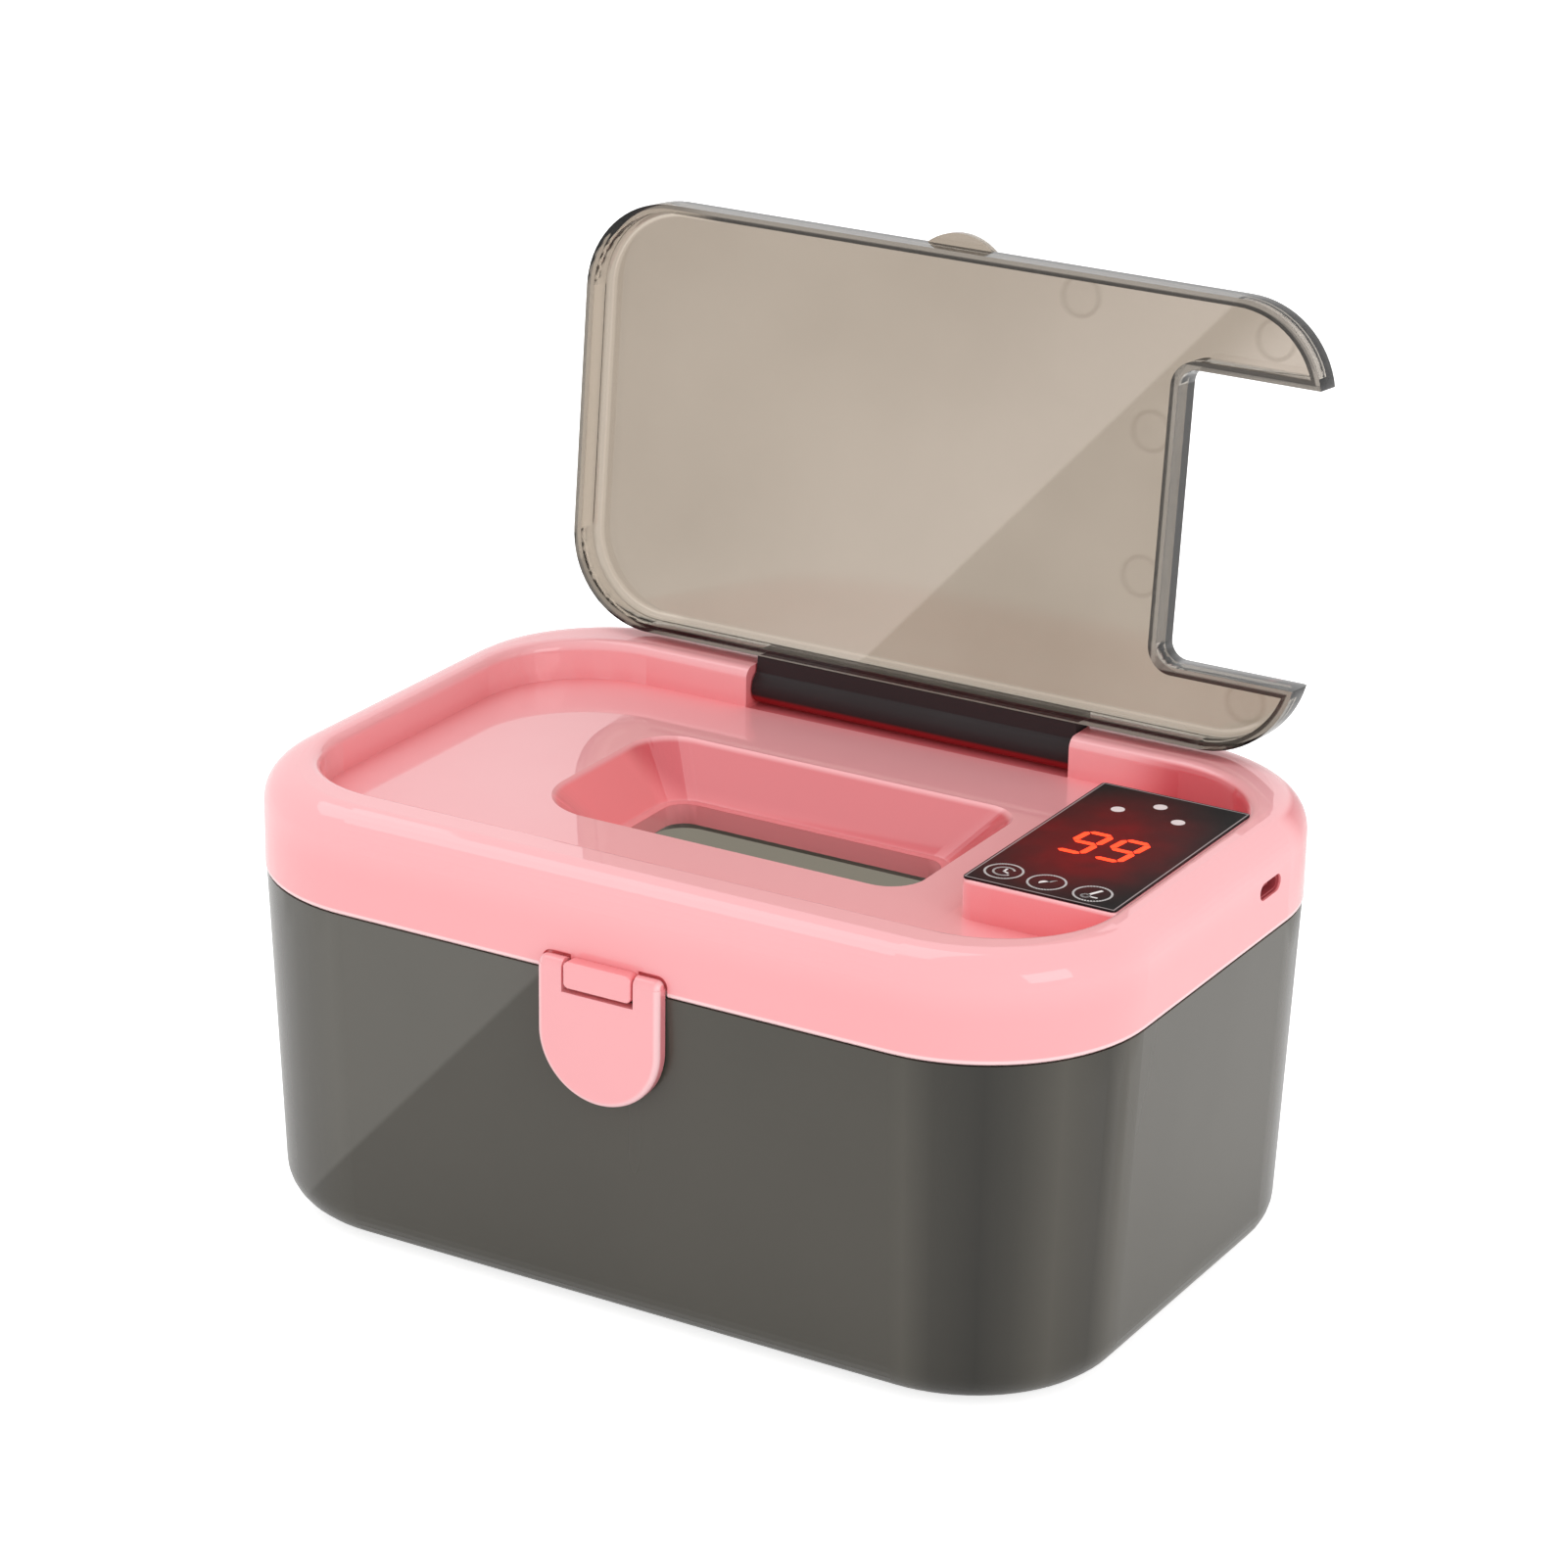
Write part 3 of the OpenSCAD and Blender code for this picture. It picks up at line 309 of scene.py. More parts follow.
def smoke_container():
    """Dark smoke-grey plastic, glossy outside, with painted reflections on the front and around the corners,
    and painted light inside: a paler colour and a glow, as if lit through the wall.
    """
    m = Nodes("smoke_plastic")
    # painted reflection: the front's left part is lighter, up to a slanted edge
    left = m.below(m.axis(PAINTED_SHEEN_NORMAL), *PAINTED_SHEEN_EDGE)
    front = m.below(m.axis(Y), -50 * MM, -40 * MM)
    painted_sheen = m.times(left, front, 0.14)
    outer = m.mix(painted_sheen, mottled(m, linear("#4E4B44"), 0.04, 20), linear("#AAA8A2"))
    # painted reflection bands around the corners
    outer = m.vector("MULTIPLY", outer, painted_corner_bands(m))
    outer = m.vector("MULTIPLY", outer, (TONE_SCALE,) * 3)
    # painted light: the inner faces are paler and glow, more towards the back, as if lit through the wall
    inside = m.ramp(depth_in_wall(m), 0.45 * WALL, 0.55 * WALL)
    painted_glow = m.times(inside, m.ramp(m.axis(Y), 0.0, 50 * MM, 0.3, 1.0))
    m.set(Base_Color=m.mix(inside, outer, linear("#8A877D")),
          Roughness=m.uneven(0.2, 0.28, 25, 3.0, (1, 1, 0.2)),
          Specular_IOR_Level=0.3, Coat_Weight=0.2, Coat_Roughness=0.1,
          Emission_Color=m.mix(painted_glow, BLACK, linear("#A29D90")), Emission_Strength=0.55)
    m.relief(m.noise(2500, 2.0), 0.02, GRAIN)
    return m


# ---------------------------------------------------------------- top cover, latch, hinge and port
HINGE_HIGH = Vector(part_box("lid_hinge_barrel")[1])
PORT_LOW, PORT_HIGH = [Vector(c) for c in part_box("usb_socket")]
LATCH_LOW, LATCH_HIGH = [Vector(c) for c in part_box("latch")]
HEM_Z = 76.2 * MM           # lower edge of the skirt
RECESS_BACK = 50.6 * MM
DECK_Z = 89.0 * MM
FUNNEL_HALF_W = 54 * MM     # a box that holds the funnel
FUNNEL_HALF_D = 34 * MM
HOLLOW_REACH = 26 * MM      # walls closer than this get painted shade on each other
HOLLOW_SHARES = (0.1, 0.92)             # open share of the surroundings: full painted shade, and plain colour
PORT_MARGIN = 1 * MM
# Painted shade: the deeper pinks for the skirt, the deck, the hollows, the hinge gap, the port's hole and the
# latch's sides. Painted highlight: the paler pinks for the hem and the latch's edge.
PINK = {name: linear(colour) for name, colour in {
    "plain": "#FEB5B9", "deck": "#FBAEB2", "skirt": "#FEABAF", "hem_highlight": "#FFE2E3", "patches": "#F59BA0",
    "painted_shade": "#FD868B", "painted_deepest_shade": "#DA5A62", "hinge_gap_shade": "#E87A80", "port": "#C85A60",
    "latch": "#FDADB1", "latch_edge_highlight": "#FFE6E8", "latch_side_shade": "#EE9096"}.items()}


def glossy_pink(m, base):
    """The gloss and fine grain that the cover and the latch share."""
    m.set(Base_Color=base, Roughness=m.uneven(0.38, 0.46, 60),
          Specular_IOR_Level=0.15, Coat_Weight=0.9, Coat_IOR=1.75, Coat_Roughness=0.02)
    m.relief(m.noise(3000, 2.0), 0.01, GRAIN)
    return m


def pink_cover():
    """Pink moulding with painted shade in its hollows, on the skirt and deck, in the hinge gap and around the
    port, and a painted highlight along its lower edge.
    """
    m = Nodes("pink_plastic")
    x, y, z = m.axis(X), m.axis(Y), m.axis(Z)
    hollow = m.tree.nodes.new("ShaderNodeAmbientOcclusion")
    hollow.samples = 8
    hollow.inputs["Distance"].default_value = HOLLOW_REACH
    open_share = m.ramp(hollow.outputs["AO"], *HOLLOW_SHARES)

    # painted shade on the funnel walls and in the recess's corner behind the control block, deepest on the
    # funnel's back and right walls and in that corner
    over_funnel = m.times(m.below(m.absolute(x), FUNNEL_HALF_W, FUNNEL_HALF_W + MM),
                          m.below(m.absolute(y), FUNNEL_HALF_D, FUNNEL_HALF_D + MM))
    funnel = m.times(over_funnel, m.below(z, DECK_Z - 1.1 * MM, DECK_Z - 0.1 * MM),
                     m.ramp(z, DECK_Z - 10 * MM, DECK_Z - 9 * MM, 0.4, 1.0))
    nook_shade = m.times(m.within(x, 66 * MM, 92 * MM, 16 * MM), m.ramp(y, 32 * MM, 40 * MM),
                   m.below(z, 96.4 * MM, 97.3 * MM))
    lit_side_shade = m.times(over_funnel, m.highest(m.ramp(y, 12 * MM, 20 * MM), m.ramp(x, 26 * MM, 34 * MM)))
    painted_shade = m.mix(m.highest(lit_side_shade, nook_shade), PINK["painted_shade"], PINK["painted_deepest_shade"])
    plain_share = m.times(open_share, m.minus(1.0, m.highest(funnel, nook_shade)))

    # painted shade on the skirt and the deck, and a painted highlight along the skirt's lower edge
    beyond = beyond_outline(m)
    outer = m.ramp(beyond, -6 * MM, -4 * MM)
    skirt = m.times(outer, m.below(z, 84 * MM, 95 * MM))
    hem_highlight = m.times(outer, m.below(beyond, 0.2 * MM, 0.5 * MM), m.below(z, HEM_Z + 0.8 * MM, HEM_Z + 1.2 * MM))
    deck = m.times(m.below(z, DECK_Z + 1 * MM, DECK_Z + 3 * MM), m.minus(1.0, outer))
    tone = m.mix(deck, m.mix(skirt, PINK["plain"], PINK["skirt"]), PINK["deck"])
    tone = m.mix(m.times(m.uneven(0.0, 1.0, 25), 0.04), tone, PINK["patches"])
    base = m.mix(m.times(hem_highlight, 0.75), m.mix(plain_share, painted_shade, tone), PINK["hem_highlight"])

    # painted shade in the hole around the port and on the deck behind the hinge barrel
    port = m.times(m.within(x, 90 * MM, 99.4 * MM, 0.3 * MM),
                   m.within(y, PORT_LOW.y - PORT_MARGIN, PORT_HIGH.y + PORT_MARGIN, 0.5 * MM),
                   m.within(z, PORT_LOW.z - PORT_MARGIN, PORT_HIGH.z + PORT_MARGIN, 0.5 * MM))
    hinge_gap_shade = m.times(m.ramp(y, RECESS_BACK + 0.2 * MM, RECESS_BACK + 1.2 * MM),
                        m.below(y, HINGE_HIGH.y, HINGE_HIGH.y + MM),
                        m.below(z, DECK_Z - 0.1 * MM, DECK_Z + 0.6 * MM),
                        m.ramp(z, DECK_Z - 1.5 * MM, DECK_Z - 1.2 * MM),
                        m.below(m.absolute(x), HINGE_HIGH.x, HINGE_HIGH.x + MM))
    return glossy_pink(m, m.mix(hinge_gap_shade, m.mix(port, base, PINK["port"]), PINK["hinge_gap_shade"]))


def pink_latch():
    """The cover's pink on the latch, with a painted highlight on its rounded edge and painted shade on its
    sides.
    """
    m = Nodes("pink_latch")
    half_w = (LATCH_HIGH.x - LATCH_LOW.x) / 2
    off_x = m.minus(m.axis(X), (LATCH_LOW.x + LATCH_HIGH.x) / 2)
    under_round = m.highest(m.minus(LATCH_LOW.z + half_w, m.axis(Z)), 0.0)
    depth = m.minus(half_w, m.length(off_x, under_round))
    behind = m.minus(m.axis(Y), LATCH_LOW.y)
    # painted shade on the sides and a painted highlight on the rounded edge
    side = m.times(m.below(depth, 0.1 * MM, 0.3 * MM), m.ramp(behind, 0.8 * MM, 1.4 * MM))
    edge = m.times(m.below(depth, 0.6 * MM, 1.4 * MM), m.minus(1.0, side))
    base = m.mix(m.times(edge, 0.45), mottled(m, PINK["latch"], 0.012, 25), PINK["latch_edge_highlight"])
    return glossy_pink(m, m.mix(side, base, PINK["latch_side_shade"]))


def port_metal():
    """Socket shell whose mouth has a painted red reflection of the cover instead of bare metal."""
    m = Nodes("port_metal")
    # painted reflection: the mouth takes the cover's red
    mouth = m.ramp(m.axis(X), PORT_HIGH.x - 6 * MM, PORT_HIGH.x - 5 * MM)
    m.set(Base_Color=m.mix(mouth, mottled(m, linear("#B8B8BC"), METAL_MOTTLE), linear("#B24C52")),
          Metallic=m.minus(1.0, mouth))
    lined(m, 0.35, (0.05, 1, 1))
    return m


def hinge_plastic():
    """Dark smoke moulding with a painted dark red reflection and glow of the cover near its lower edge."""
    m = Nodes("hinge_plastic")
    # painted reflection and glow: the lower edge takes the cover's dark red
    red = m.below(m.axis(Z), DECK_Z + 1.6 * MM, DECK_Z + 2.6 * MM)
    m.set(Base_Color=m.mix(red, linear("#2B2324"), linear("#7A1216")), Specular_IOR_Level=0.25,
          Emission_Color=m.mix(red, BLACK, linear("#6A0C10")), Emission_Strength=0.35)
    moulded(m, 0.5)
    return m


# ---------------------------------------------------------------- flip lid
# The open lid's own axes: up across its plate from the hinge, and through it towards the back.
LID_OPEN = math.radians(95.5)
LID_AXIS = Vector((0, 56.2 * MM, 92.6 * MM))
LID_UP = Vector((0, -math.cos(LID_OPEN), math.sin(LID_OPEN)))
LID_BACK = Vector((0, math.sin(LID_OPEN), math.cos(LID_OPEN)))
LID_TOP = 5.7 * MM          # outer face of the plate behind the hinge axis
LID_INNER = LID_TOP - 2 * MM            # inner face of the plate
LID_LIP = LID_TOP - 8 * MM              # lip of the walls
LID_HALF_W = 88 * MM
LID_HALF_L = 47.6 * MM
LID_MIDDLE = 54.5 * MM      # middle of the lid and of its notch, up from the hinge axis
LID_R = 20.5 * MM
LID_WALL = 1.8 * MM
NOTCH_LEFT = 55.9 * MM
NOTCH_HALF = 31.4 * MM
# Ejector marks and two points on the edge of the painted reflection: across, and up from the hinge axis, in
# mm.
EJECTOR_MARKS = [(28.9, 95.8), (73.9, 93.6), (47.6, 70.2), (48.0, 39.3), (74.4, 17.0)]
EJECTOR_R = 4.2 * MM
PAINTED_GLOSS_FROM = Vector((-15.1, 10.6)) * MM
PAINTED_GLOSS_TO = Vector((62.6, 98.0)) * MM
# The glossy tone is a painted reflection, the pale line a painted highlight, the walls' tones painted light
# and shade, and the lip's dark tones painted shade.
SMOKE = {name: linear(colour) for name, colour in {
    "plate": "#8A7F72", "plate_light": "#93887B", "glossy": "#B4A99E", "ejector": "#6E6153",
    "fillet_highlight": "#D2C6B8", "wall": "#98958F", "wall_left": "#A09486", "wall_low": "#96928A",
    "lip": "#6B6762", "lip_left": "#4A4641", "lip_inner": "#171513", "lip_inner_left": "#857A6D"}.items()}


def lid_depth(m, across, up):
    """Distance of a point of the lid inside its outline, in metres."""
    off_middle = m.absolute(m.minus(up, LID_MIDDLE))
    corner = m.length(m.past(m.absolute(across), LID_HALF_W - LID_R), m.past(off_middle, LID_HALF_L - LID_R))
    from_notch = m.length(m.highest(m.minus(NOTCH_LEFT, across), 0.0), m.past(off_middle, NOTCH_HALF))
    return m.math("MINIMUM", m.minus(LID_R, corner), from_notch)


def lid_plate(m, across, up):
    """Colour of the lid's plate, with a painted reflection at its gloss boundary, and ejector marks."""
    colour = m.mix(m.uneven(0.0, 1.0, 14), SMOKE["plate"], SMOKE["plate_light"])
    run = (PAINTED_GLOSS_TO - PAINTED_GLOSS_FROM).normalized()
    side = m.minus(m.times(m.minus(across, PAINTED_GLOSS_FROM.x), run.y), m.times(m.minus(up, PAINTED_GLOSS_FROM.y), run.x))
    # painted reflection: lighter on one side of the gloss boundary, most next to it
    painted_shine = m.times(m.below(side, -0.5 * MM, 0.5 * MM), m.ramp(side, -60 * MM, 0.0, 0.2, 1.0))
    colour = m.mix(m.times(painted_shine, 0.35), colour, SMOKE["glossy"])
    # painted reflection: lighter on the other side of the boundary, towards the far end
    far = m.times(m.ramp(side, 2 * MM, 16 * MM), m.ramp(up, 60 * MM, 90 * MM))
    colour = m.mix(m.times(far, 0.6), colour, SMOKE["glossy"])
    for x, y in EJECTOR_MARKS:
        off = m.length(m.minus(across, x * MM), m.minus(up, y * MM))
        ring = m.ramp(m.absolute(m.minus(off, EJECTOR_R)), 0.2 * MM, 0.7 * MM, 0.3, 0.0)
        disc = m.ramp(off, EJECTOR_R - 0.4 * MM, EJECTOR_R, 0.06, 0.0)
        colour = m.mix(m.math("ADD", ring, disc), colour, SMOKE["ejector"])
    return colour


def lid_plastic():
    """Clear smoke plastic, with painted shade along the lip, painted light and shade on the grey walls, and a
    painted highlight line inside them.
    """
    m = Nodes("lid_plastic")
    through = m.minus(m.axis(LID_BACK), LID_AXIS.dot(LID_BACK))
    up = m.minus(m.axis(LID_UP), LID_AXIS.dot(LID_UP))
    across = m.axis(X)
    depth = lid_depth(m, across, up)
    left = m.below(across, -66 * MM, -56 * MM)
    low = m.below(up, 8.5 * MM, 9.5 * MM)
    lip = m.below(through, LID_LIP + 0.2 * MM, LID_LIP + 0.7 * MM)
    wall = m.below(through, LID_INNER - 1.5 * MM, LID_INNER - 0.3 * MM)
    # painted highlight: a pale line along the fillet inside the walls, on the left and near the hinge
    pale = m.times(m.within(depth, LID_WALL + 0.7 * MM, LID_WALL + 1.2 * MM, 0.6 * MM),
                   m.highest(left, m.times(0.5, m.below(up, 12 * MM, 14 * MM))))
    colour = m.mix(m.times(pale, 0.42), lid_plate(m, across, up), SMOKE["fillet_highlight"])
    # painted light and shade: the walls are grey, with other tones at the left and near the hinge
    colour = m.mix(wall, colour, m.mix(left, SMOKE["wall"], SMOKE["wall_left"]))
    colour = m.mix(m.times(low, wall), colour, SMOKE["wall_low"])
    # painted shade: the lip is dark, darkest on its inner part, with other tones at the left
    edge = m.mix(m.ramp(depth, 0.4 * LID_WALL, 0.6 * LID_WALL),
                 m.mix(left, SMOKE["lip"], SMOKE["lip_left"]),
                 m.mix(left, SMOKE["lip_inner"], SMOKE["lip_inner_left"]))
    m.set(Base_Color=m.mix(lip, colour, edge), Roughness=0.08, Transmission_Weight=1.0, IOR=1.45)
    return m


# Colour, roughness, and where they differ from the usual: strength and size of the grain.
PLASTICS = {
    "dark_rubber": ("#222222", 0.75, 0.2),
    "silicone": ("#E8E4DE", 0.5, 0.06),
    "film_amber": ("#C8803C", 0.3),
    "foam": ("#D8D4C8", 0.9, 0.5, 0.8 * MM),
    "dark_plastic": ("#1C1C1C", 0.5, 0.1),
    "white_plastic": ("#EAE8E0", 0.5, 0.06),
    "board_green": ("#1D5C36", 0.35, 0.1, 0.6 * MM),
    "display_red": ("#301010", 0.3),
    "lamp_red": ("#E02A1C", 0.3),
    "lead_red": ("#C82018", 0.5),
    "lead_black": ("#202022", 0.5),
}
# Colour, roughness and stretch of the fine lines.
METALS = {
    "steel": ("#C0C0C4", 0.3, (1, 0.05, 1)),
    "plate_metal": ("#C8C8CA", 0.35, (0.03, 1, 1)),
}
MATERIALS = {
    "pink_plastic": pink_cover(),
    "smoke_plastic": smoke_container(),
    "lid_plastic": lid_plastic(),
    "hinge_plastic": hinge_plastic(),
}
MATERIALS.update({name: plastic(name, *values) for name, values in PLASTICS.items()})
MATERIALS.update({name: metal(name, *values) for name, values in METALS.items()})

# ---------------------------------------------------------------- control panel
FILM_LOW, FILM_HIGH = [Vector(c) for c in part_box("panel_film")]
FILM_SIZE = FILM_HIGH - FILM_LOW
INK = 0.03 * MM             # thickness of printed marks
# Places on the panel, as shares of its width and depth.
DISPLAY_AT = (0.489, 0.473)
LAMPS_AT = [(0.283, 0.799), (0.485, 0.893), (0.688, 0.799)]
KEYS_AT = [(0.172, 0.110), (0.464, 0.100), (0.770, 0.094)]
PAINTED_GLOW_LEFT = 3 * MM          # middle of the painted red glow, left of the display's
PAINTED_GLOW_REACH = (3 * MM, 27 * MM)


def on_panel(u, v):
    return Vector((FILM_LOW.x + u * FILM_SIZE.x, FILM_LOW.y + v * FILM_SIZE.y, FILM_HIGH.z))


def panel_film():
    """Dark glossy film with a painted red glow of the display's light around it and a thin pale border."""
    m = Nodes("panel_black")
    centre = on_panel(*DISPLAY_AT) - Vector((PAINTED_GLOW_LEFT, 0, 0))
    # painted light: the display's red glow spread over the film
    glow = m.times(m.below(m.distance(centre, (1, 0.72, 0)), *PAINTED_GLOW_REACH), m.uneven(0.6, 1.0, 120, 2.0))
    base = m.mix(glow, mottled(m, linear("#1D1B1C"), 0.08, 200), linear("#7C1216"))
    x, y = m.axis(X), m.axis(Y)
    from_edge = m.minus(FILM_HIGH.x, x)
    for inward in (m.minus(x, FILM_LOW.x), m.minus(FILM_HIGH.y, y), m.minus(y, FILM_LOW.y)):
        from_edge = m.math("MINIMUM", from_edge, inward)
    border = m.times(m.ramp(from_edge, 0.25 * MM, 0.35 * MM), m.below(from_edge, 0.5 * MM, 0.65 * MM))
    m.set(Base_Color=m.mix(m.times(border, 0.55), base, linear("#D8C8C8")), Roughness=0.5,
          Specular_IOR_Level=0.12)
    m.relief(m.noise(1500, 2.0), 0.02, 0.1 * MM)
    return m


MATERIALS["panel_black"] = panel_film()


def lit(name, colour, strength, base):
    """Material of a lit display or lamp; the base is its colour under outside light."""
    m = Nodes(name)
    m.set(Base_Color=mottled(m, linear(base), 0.04, 400), Roughness=0.3,
          Emission_Color=linear(colour), Emission_Strength=strength)
    return m.material


def flat_piece(name, outlines, material):
    """Thin printed shapes on the panel, each outline a list of (x, y) points in metres."""
    z = FILM_HIGH.z
    points = []
    faces = []
    for outline in outlines:
        n = len(outline)
        first = len(points)
        points += [(x, y, z) for x, y in outline] + [(x, y, z + INK) for x, y in outline]
        faces.append(tuple(first + n + i for i in range(n)))
        faces.append(tuple(first + i for i in reversed(range(n))))
        faces += [(first + i, first + (i + 1) % n, first + n + (i + 1) % n, first + n + i) for i in range(n)]
    mesh = bpy.data.meshes.new(name)
    mesh.from_pydata(points, [], faces)
    mesh.materials.append(material)
    obj = bpy.data.objects.new(name, mesh)
    bpy.context.scene.collection.objects.link(obj)
    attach(obj, "top_cover")


STROKE_OVERLAP = 0.3        # share of the width by which each piece runs on at both ends


def stroke(points, width):
    """Outlines of the straight pieces of a line, as thin quads with a small overlap."""
    shapes = []
    for a, b in zip(points, points[1:]):
        a, b = Vector(a), Vector(b)
        along = (b - a).normalized() * width * STROKE_OVERLAP
        side = Vector((-along.y, along.x)).normalized() * width / 2
        a, b = a - along, b + along
        shapes.append([tuple(a - side), tuple(b - side), tuple(b + side), tuple(a + side)])
    return shapes


def circle(centre, radius, steps=40, start=0.0, end=2 * math.pi):
    """Points on a circle or an arc, both ends included."""
    turns = [start + (end - start) * i / steps for i in range(steps + 1)]
    return [(centre[0] + radius * math.cos(turn), centre[1] + radius * math.sin(turn)) for turn in turns]


# Ends of the lit segments of a digit, as shares of its width and height.
NINE = [((0, 1), (1, 1)), ((1, 1), (1, 0.5)), ((1, 0.5), (1, 0)), ((0, 0), (1, 0)), ((0, 1), (0, 0.5)),
        ((0, 0.5), (1, 0.5))]
DIGIT_W = 5.2 * MM
DIGIT_H = 11.4 * MM
DIGIT_PITCH = 8.3 * MM
SEGMENT_T = 1.4 * MM
SEGMENT_GAP = 0.12 * SEGMENT_T          # from a segment's tip to the corner where two meet
SLANT = 0.12
LAMP_R = 1.45 * MM
KEY_R = 3.8 * MM
LINE_W = 0.45 * MM


def digit(centre, segments):
    """Six-sided outlines of a digit's lit segments."""
    shapes = []
    for segment in segments:
        ends = []
        for u, v in segment:
            y = (v - 0.5) * DIGIT_H
            ends.append(Vector((centre.x + (u - 0.5) * DIGIT_W + y * SLANT, centre.y + y)))
        a, b = ends
        along = (b - a).normalized()
        side = Vector((-along.y, along.x)) * SEGMENT_T / 2
        a, b = a + along * SEGMENT_GAP, b - along * SEGMENT_GAP
        tip = along * SEGMENT_T / 2
        outline = (a, a + tip - side, b - tip - side, b, b - tip + side, a + tip + side)
        shapes.append([tuple(p) for p in outline])
    return shapes


def clock_mark(c):
    hands = [(c.x, c.y + 1.4 * MM), (c.x, c.y), (c.x + 1.1 * MM, c.y - 0.5 * MM)]
    return stroke(circle(c, 2.1 * MM, 24, 0.6, 5.6), LINE_W) + stroke(hands, LINE_W)


def drop_mark(c):
    drop = circle((c.x - 0.2 * MM, c.y - 0.5 * MM), 1.2 * MM, 16, 0.9, 2 * math.pi - 2.5)
    return [drop + [(c.x + 1.4 * MM, c.y + 1.9 * MM)]]


def thermometer_mark(c):
    stem = [(c.x - 0.5 * MM, c.y - 0.9 * MM), (c.x + 0.9 * MM, c.y + 2.1 * MM)]
    bulb = circle((c.x - 0.8 * MM, c.y - 1.5 * MM), 0.8 * MM, 16)
    dash = [(c.x + 0.5 * MM, c.y - 1.6 * MM), (c.x + 1.7 * MM, c.y - 1.6 * MM)]
    return stroke(stem, 0.7 * MM) + stroke(bulb, LINE_W) + stroke(dash, LINE_W)


def add_panel_marks():
    centre = on_panel(*DISPLAY_AT)
    digits = []
    for side in (-0.5, 0.5):
        digits += digit(centre + Vector((side * DIGIT_PITCH, 0, 0)), NINE)
    flat_piece("display_digits", digits, lit("display_glow", "#FF3A14", 1.6, "#F04020"))
    lamps = [circle(on_panel(u, v), LAMP_R)[:-1] for u, v in LAMPS_AT]
    flat_piece("lamp_lenses", lamps, lit("lamp_glow", "#FFE0E0", 0.12, "#D8CCCC"))
    marks = []
    for (u, v), mark in zip(KEYS_AT, (clock_mark, drop_mark, thermometer_mark)):
        c = on_panel(u, v)
        marks += stroke(circle(c, KEY_R), LINE_W) + mark(c)
    flat_piece("key_marks", marks, plastic("white_ink", "#F4EEED", 0.5, 0.02).material)


add_panel_marks()

# ---------------------------------------------------------------- materials on the CAD pieces
SLOT_OF = {entry["node"]: entry["material_slot"] for entry in frame["record"]["subparts"]}
OWN_MATERIAL = {"latch": pink_latch(), "usb_socket": port_metal()}
# Width of the rounding of hard edges, in mm.
SOFT_EDGES = {"cover_shell": 0.45, "latch": 0.35, "flip_lid": 0.25, "lid_hinge_barrel": 0.3, "container": 0.4}
WELD_GAP = 0.002 * MM
FLAT_ANGLE = math.radians(0.5)          # faces closer than this in direction are joined
HARD_ANGLE = math.radians(35)           # edges sharper than this are rounded

for node, obj in frame["nodes"].items():
    obj.data.materials.clear()
    obj.data.materials.append(OWN_MATERIAL.get(node, MATERIALS[SLOT_OF[node]]).material)


def soften(node, width):
    """Rounds the hard edges of a piece a little."""
    obj = frame["nodes"][node]
    weld = obj.modifiers.new("weld", "WELD")
    weld.merge_threshold = WELD_GAP
    flat = obj.modifiers.new("flat", "DECIMATE")
    flat.decimate_type = "DISSOLVE"
    flat.angle_limit = FLAT_ANGLE
    bevel = obj.modifiers.new("bevel", "BEVEL")
    bevel.width = width * MM
    bevel.segments = 3
    bevel.limit_method = "ANGLE"
    bevel.angle_limit = HARD_ANGLE
    bevel.harden_normals = True


for node, width in SOFT_EDGES.items():
    soften(node, width)

# ---------------------------------------------------------------- floor, backdrop and light
SEEN_WHITE = 1.0            # backdrop as the camera sees it
AMBIENT_LEVEL = 1.0         # light from the backdrop at eye level
AMBIENT_TOP = 0.84          # light from straight above
FLOOR_GLOW = 0.24           # light that the white floor gives the object besides what it reflects
FLOOR_SEEN = 0.5            # light added to the floor as the camera sees it
FLOOR_WHITE = (0.8, 0.8, 0.8, 1)
FLOOR_HALF = 6
LIGHT_AIM = (0, 0, 0.08)
# Place, width and height, and power of each light.
LIGHTS = {"key": ((-0.8, 0.1, 1.6), (1.2, 1.2), 4.5), "fill": ((1.5, -0.5, 0.8), (0.8, 0.8), 3)}


def seen_directly(tree):
    """1 for what the camera sees, straight or through clear plastic, else 0."""
    ray = tree.nodes.new("ShaderNodeLightPath")
    seen = tree.nodes.new("ShaderNodeMath")
    seen.operation = "MAXIMUM"
    tree.links.new(ray.outputs["Is Camera Ray"], seen.inputs[0])
    tree.links.new(ray.outputs["Is Transmission Ray"], seen.inputs[1])
    return seen.outputs[0]


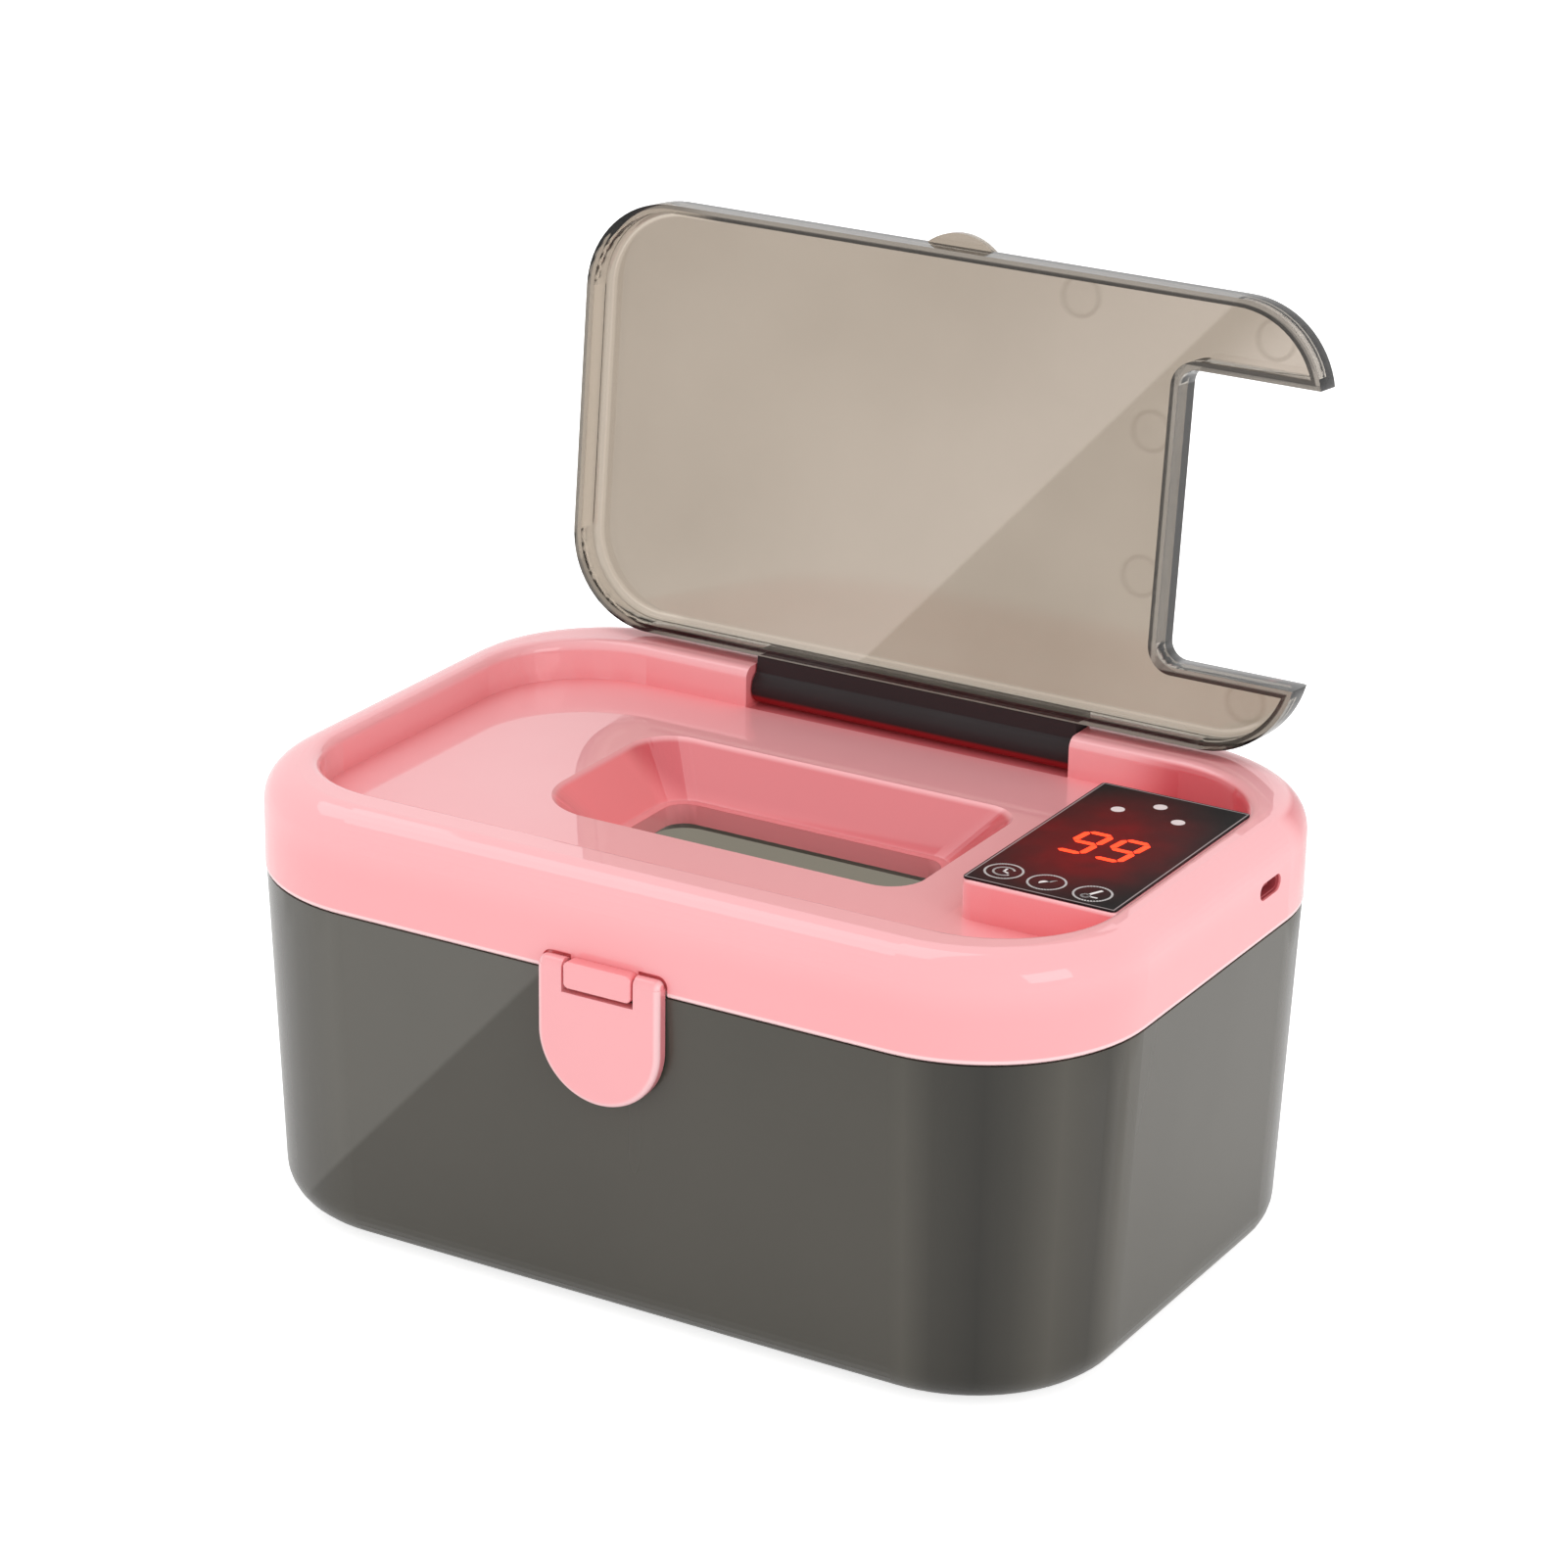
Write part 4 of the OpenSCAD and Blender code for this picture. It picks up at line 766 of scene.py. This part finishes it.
def add_floor():
    mesh = bpy.data.meshes.new("floor")
    corners = [(x * FLOOR_HALF, y * FLOOR_HALF, 0) for x, y in ((-1, -1), (1, -1), (1, 1), (-1, 1))]
    mesh.from_pydata(corners, [], [(0, 1, 2, 3)])
    floor = bpy.data.objects.new("floor", mesh)
    bpy.context.scene.collection.objects.link(floor)
    m = Nodes("floor")
    lift = m.math("ADD", m.times(seen_directly(m.tree), FLOOR_SEEN), FLOOR_GLOW)
    m.set(Base_Color=FLOOR_WHITE, Roughness=0.9, Emission_Color=(1, 1, 1, 1), Emission_Strength=lift)
    mesh.materials.append(m.material)


def add_world():
    world = bpy.data.worlds.new("world")
    bpy.context.scene.world = world
    world.use_nodes = True
    tree = world.node_tree
    background = tree.nodes["Background"]
    background.inputs["Color"].default_value = (1, 1, 1, 1)
    direction = tree.nodes.new("ShaderNodeSeparateXYZ")
    tree.links.new(tree.nodes.new("ShaderNodeTexCoord").outputs["Generated"], direction.inputs[0])
    ambient = tree.nodes.new("ShaderNodeMapRange")
    ambient.inputs["To Min"].default_value = AMBIENT_LEVEL
    ambient.inputs["To Max"].default_value = AMBIENT_TOP
    tree.links.new(direction.outputs["Z"], ambient.inputs["Value"])
    strength = tree.nodes.new("ShaderNodeMapRange")
    tree.links.new(ambient.outputs["Result"], strength.inputs["To Min"])
    strength.inputs["To Max"].default_value = SEEN_WHITE
    tree.links.new(seen_directly(tree), strength.inputs["Value"])
    tree.links.new(strength.outputs["Result"], background.inputs["Strength"])


def add_area(name, place, size, power):
    data = bpy.data.lights.new(name, "AREA")
    data.shape = "RECTANGLE"
    data.size, data.size_y = size
    data.energy = power
    light = bpy.data.objects.new(name, data)
    turn = (Vector(LIGHT_AIM) - Vector(place)).to_track_quat("-Z", "Y")
    light.matrix_world = Matrix.Translation(place) @ turn.to_matrix().to_4x4()
    bpy.context.scene.collection.objects.link(light)


add_floor()
add_world()
for name, values in LIGHTS.items():
    add_area(name, *values)

bpy.context.scene.view_settings.view_transform = "Standard"
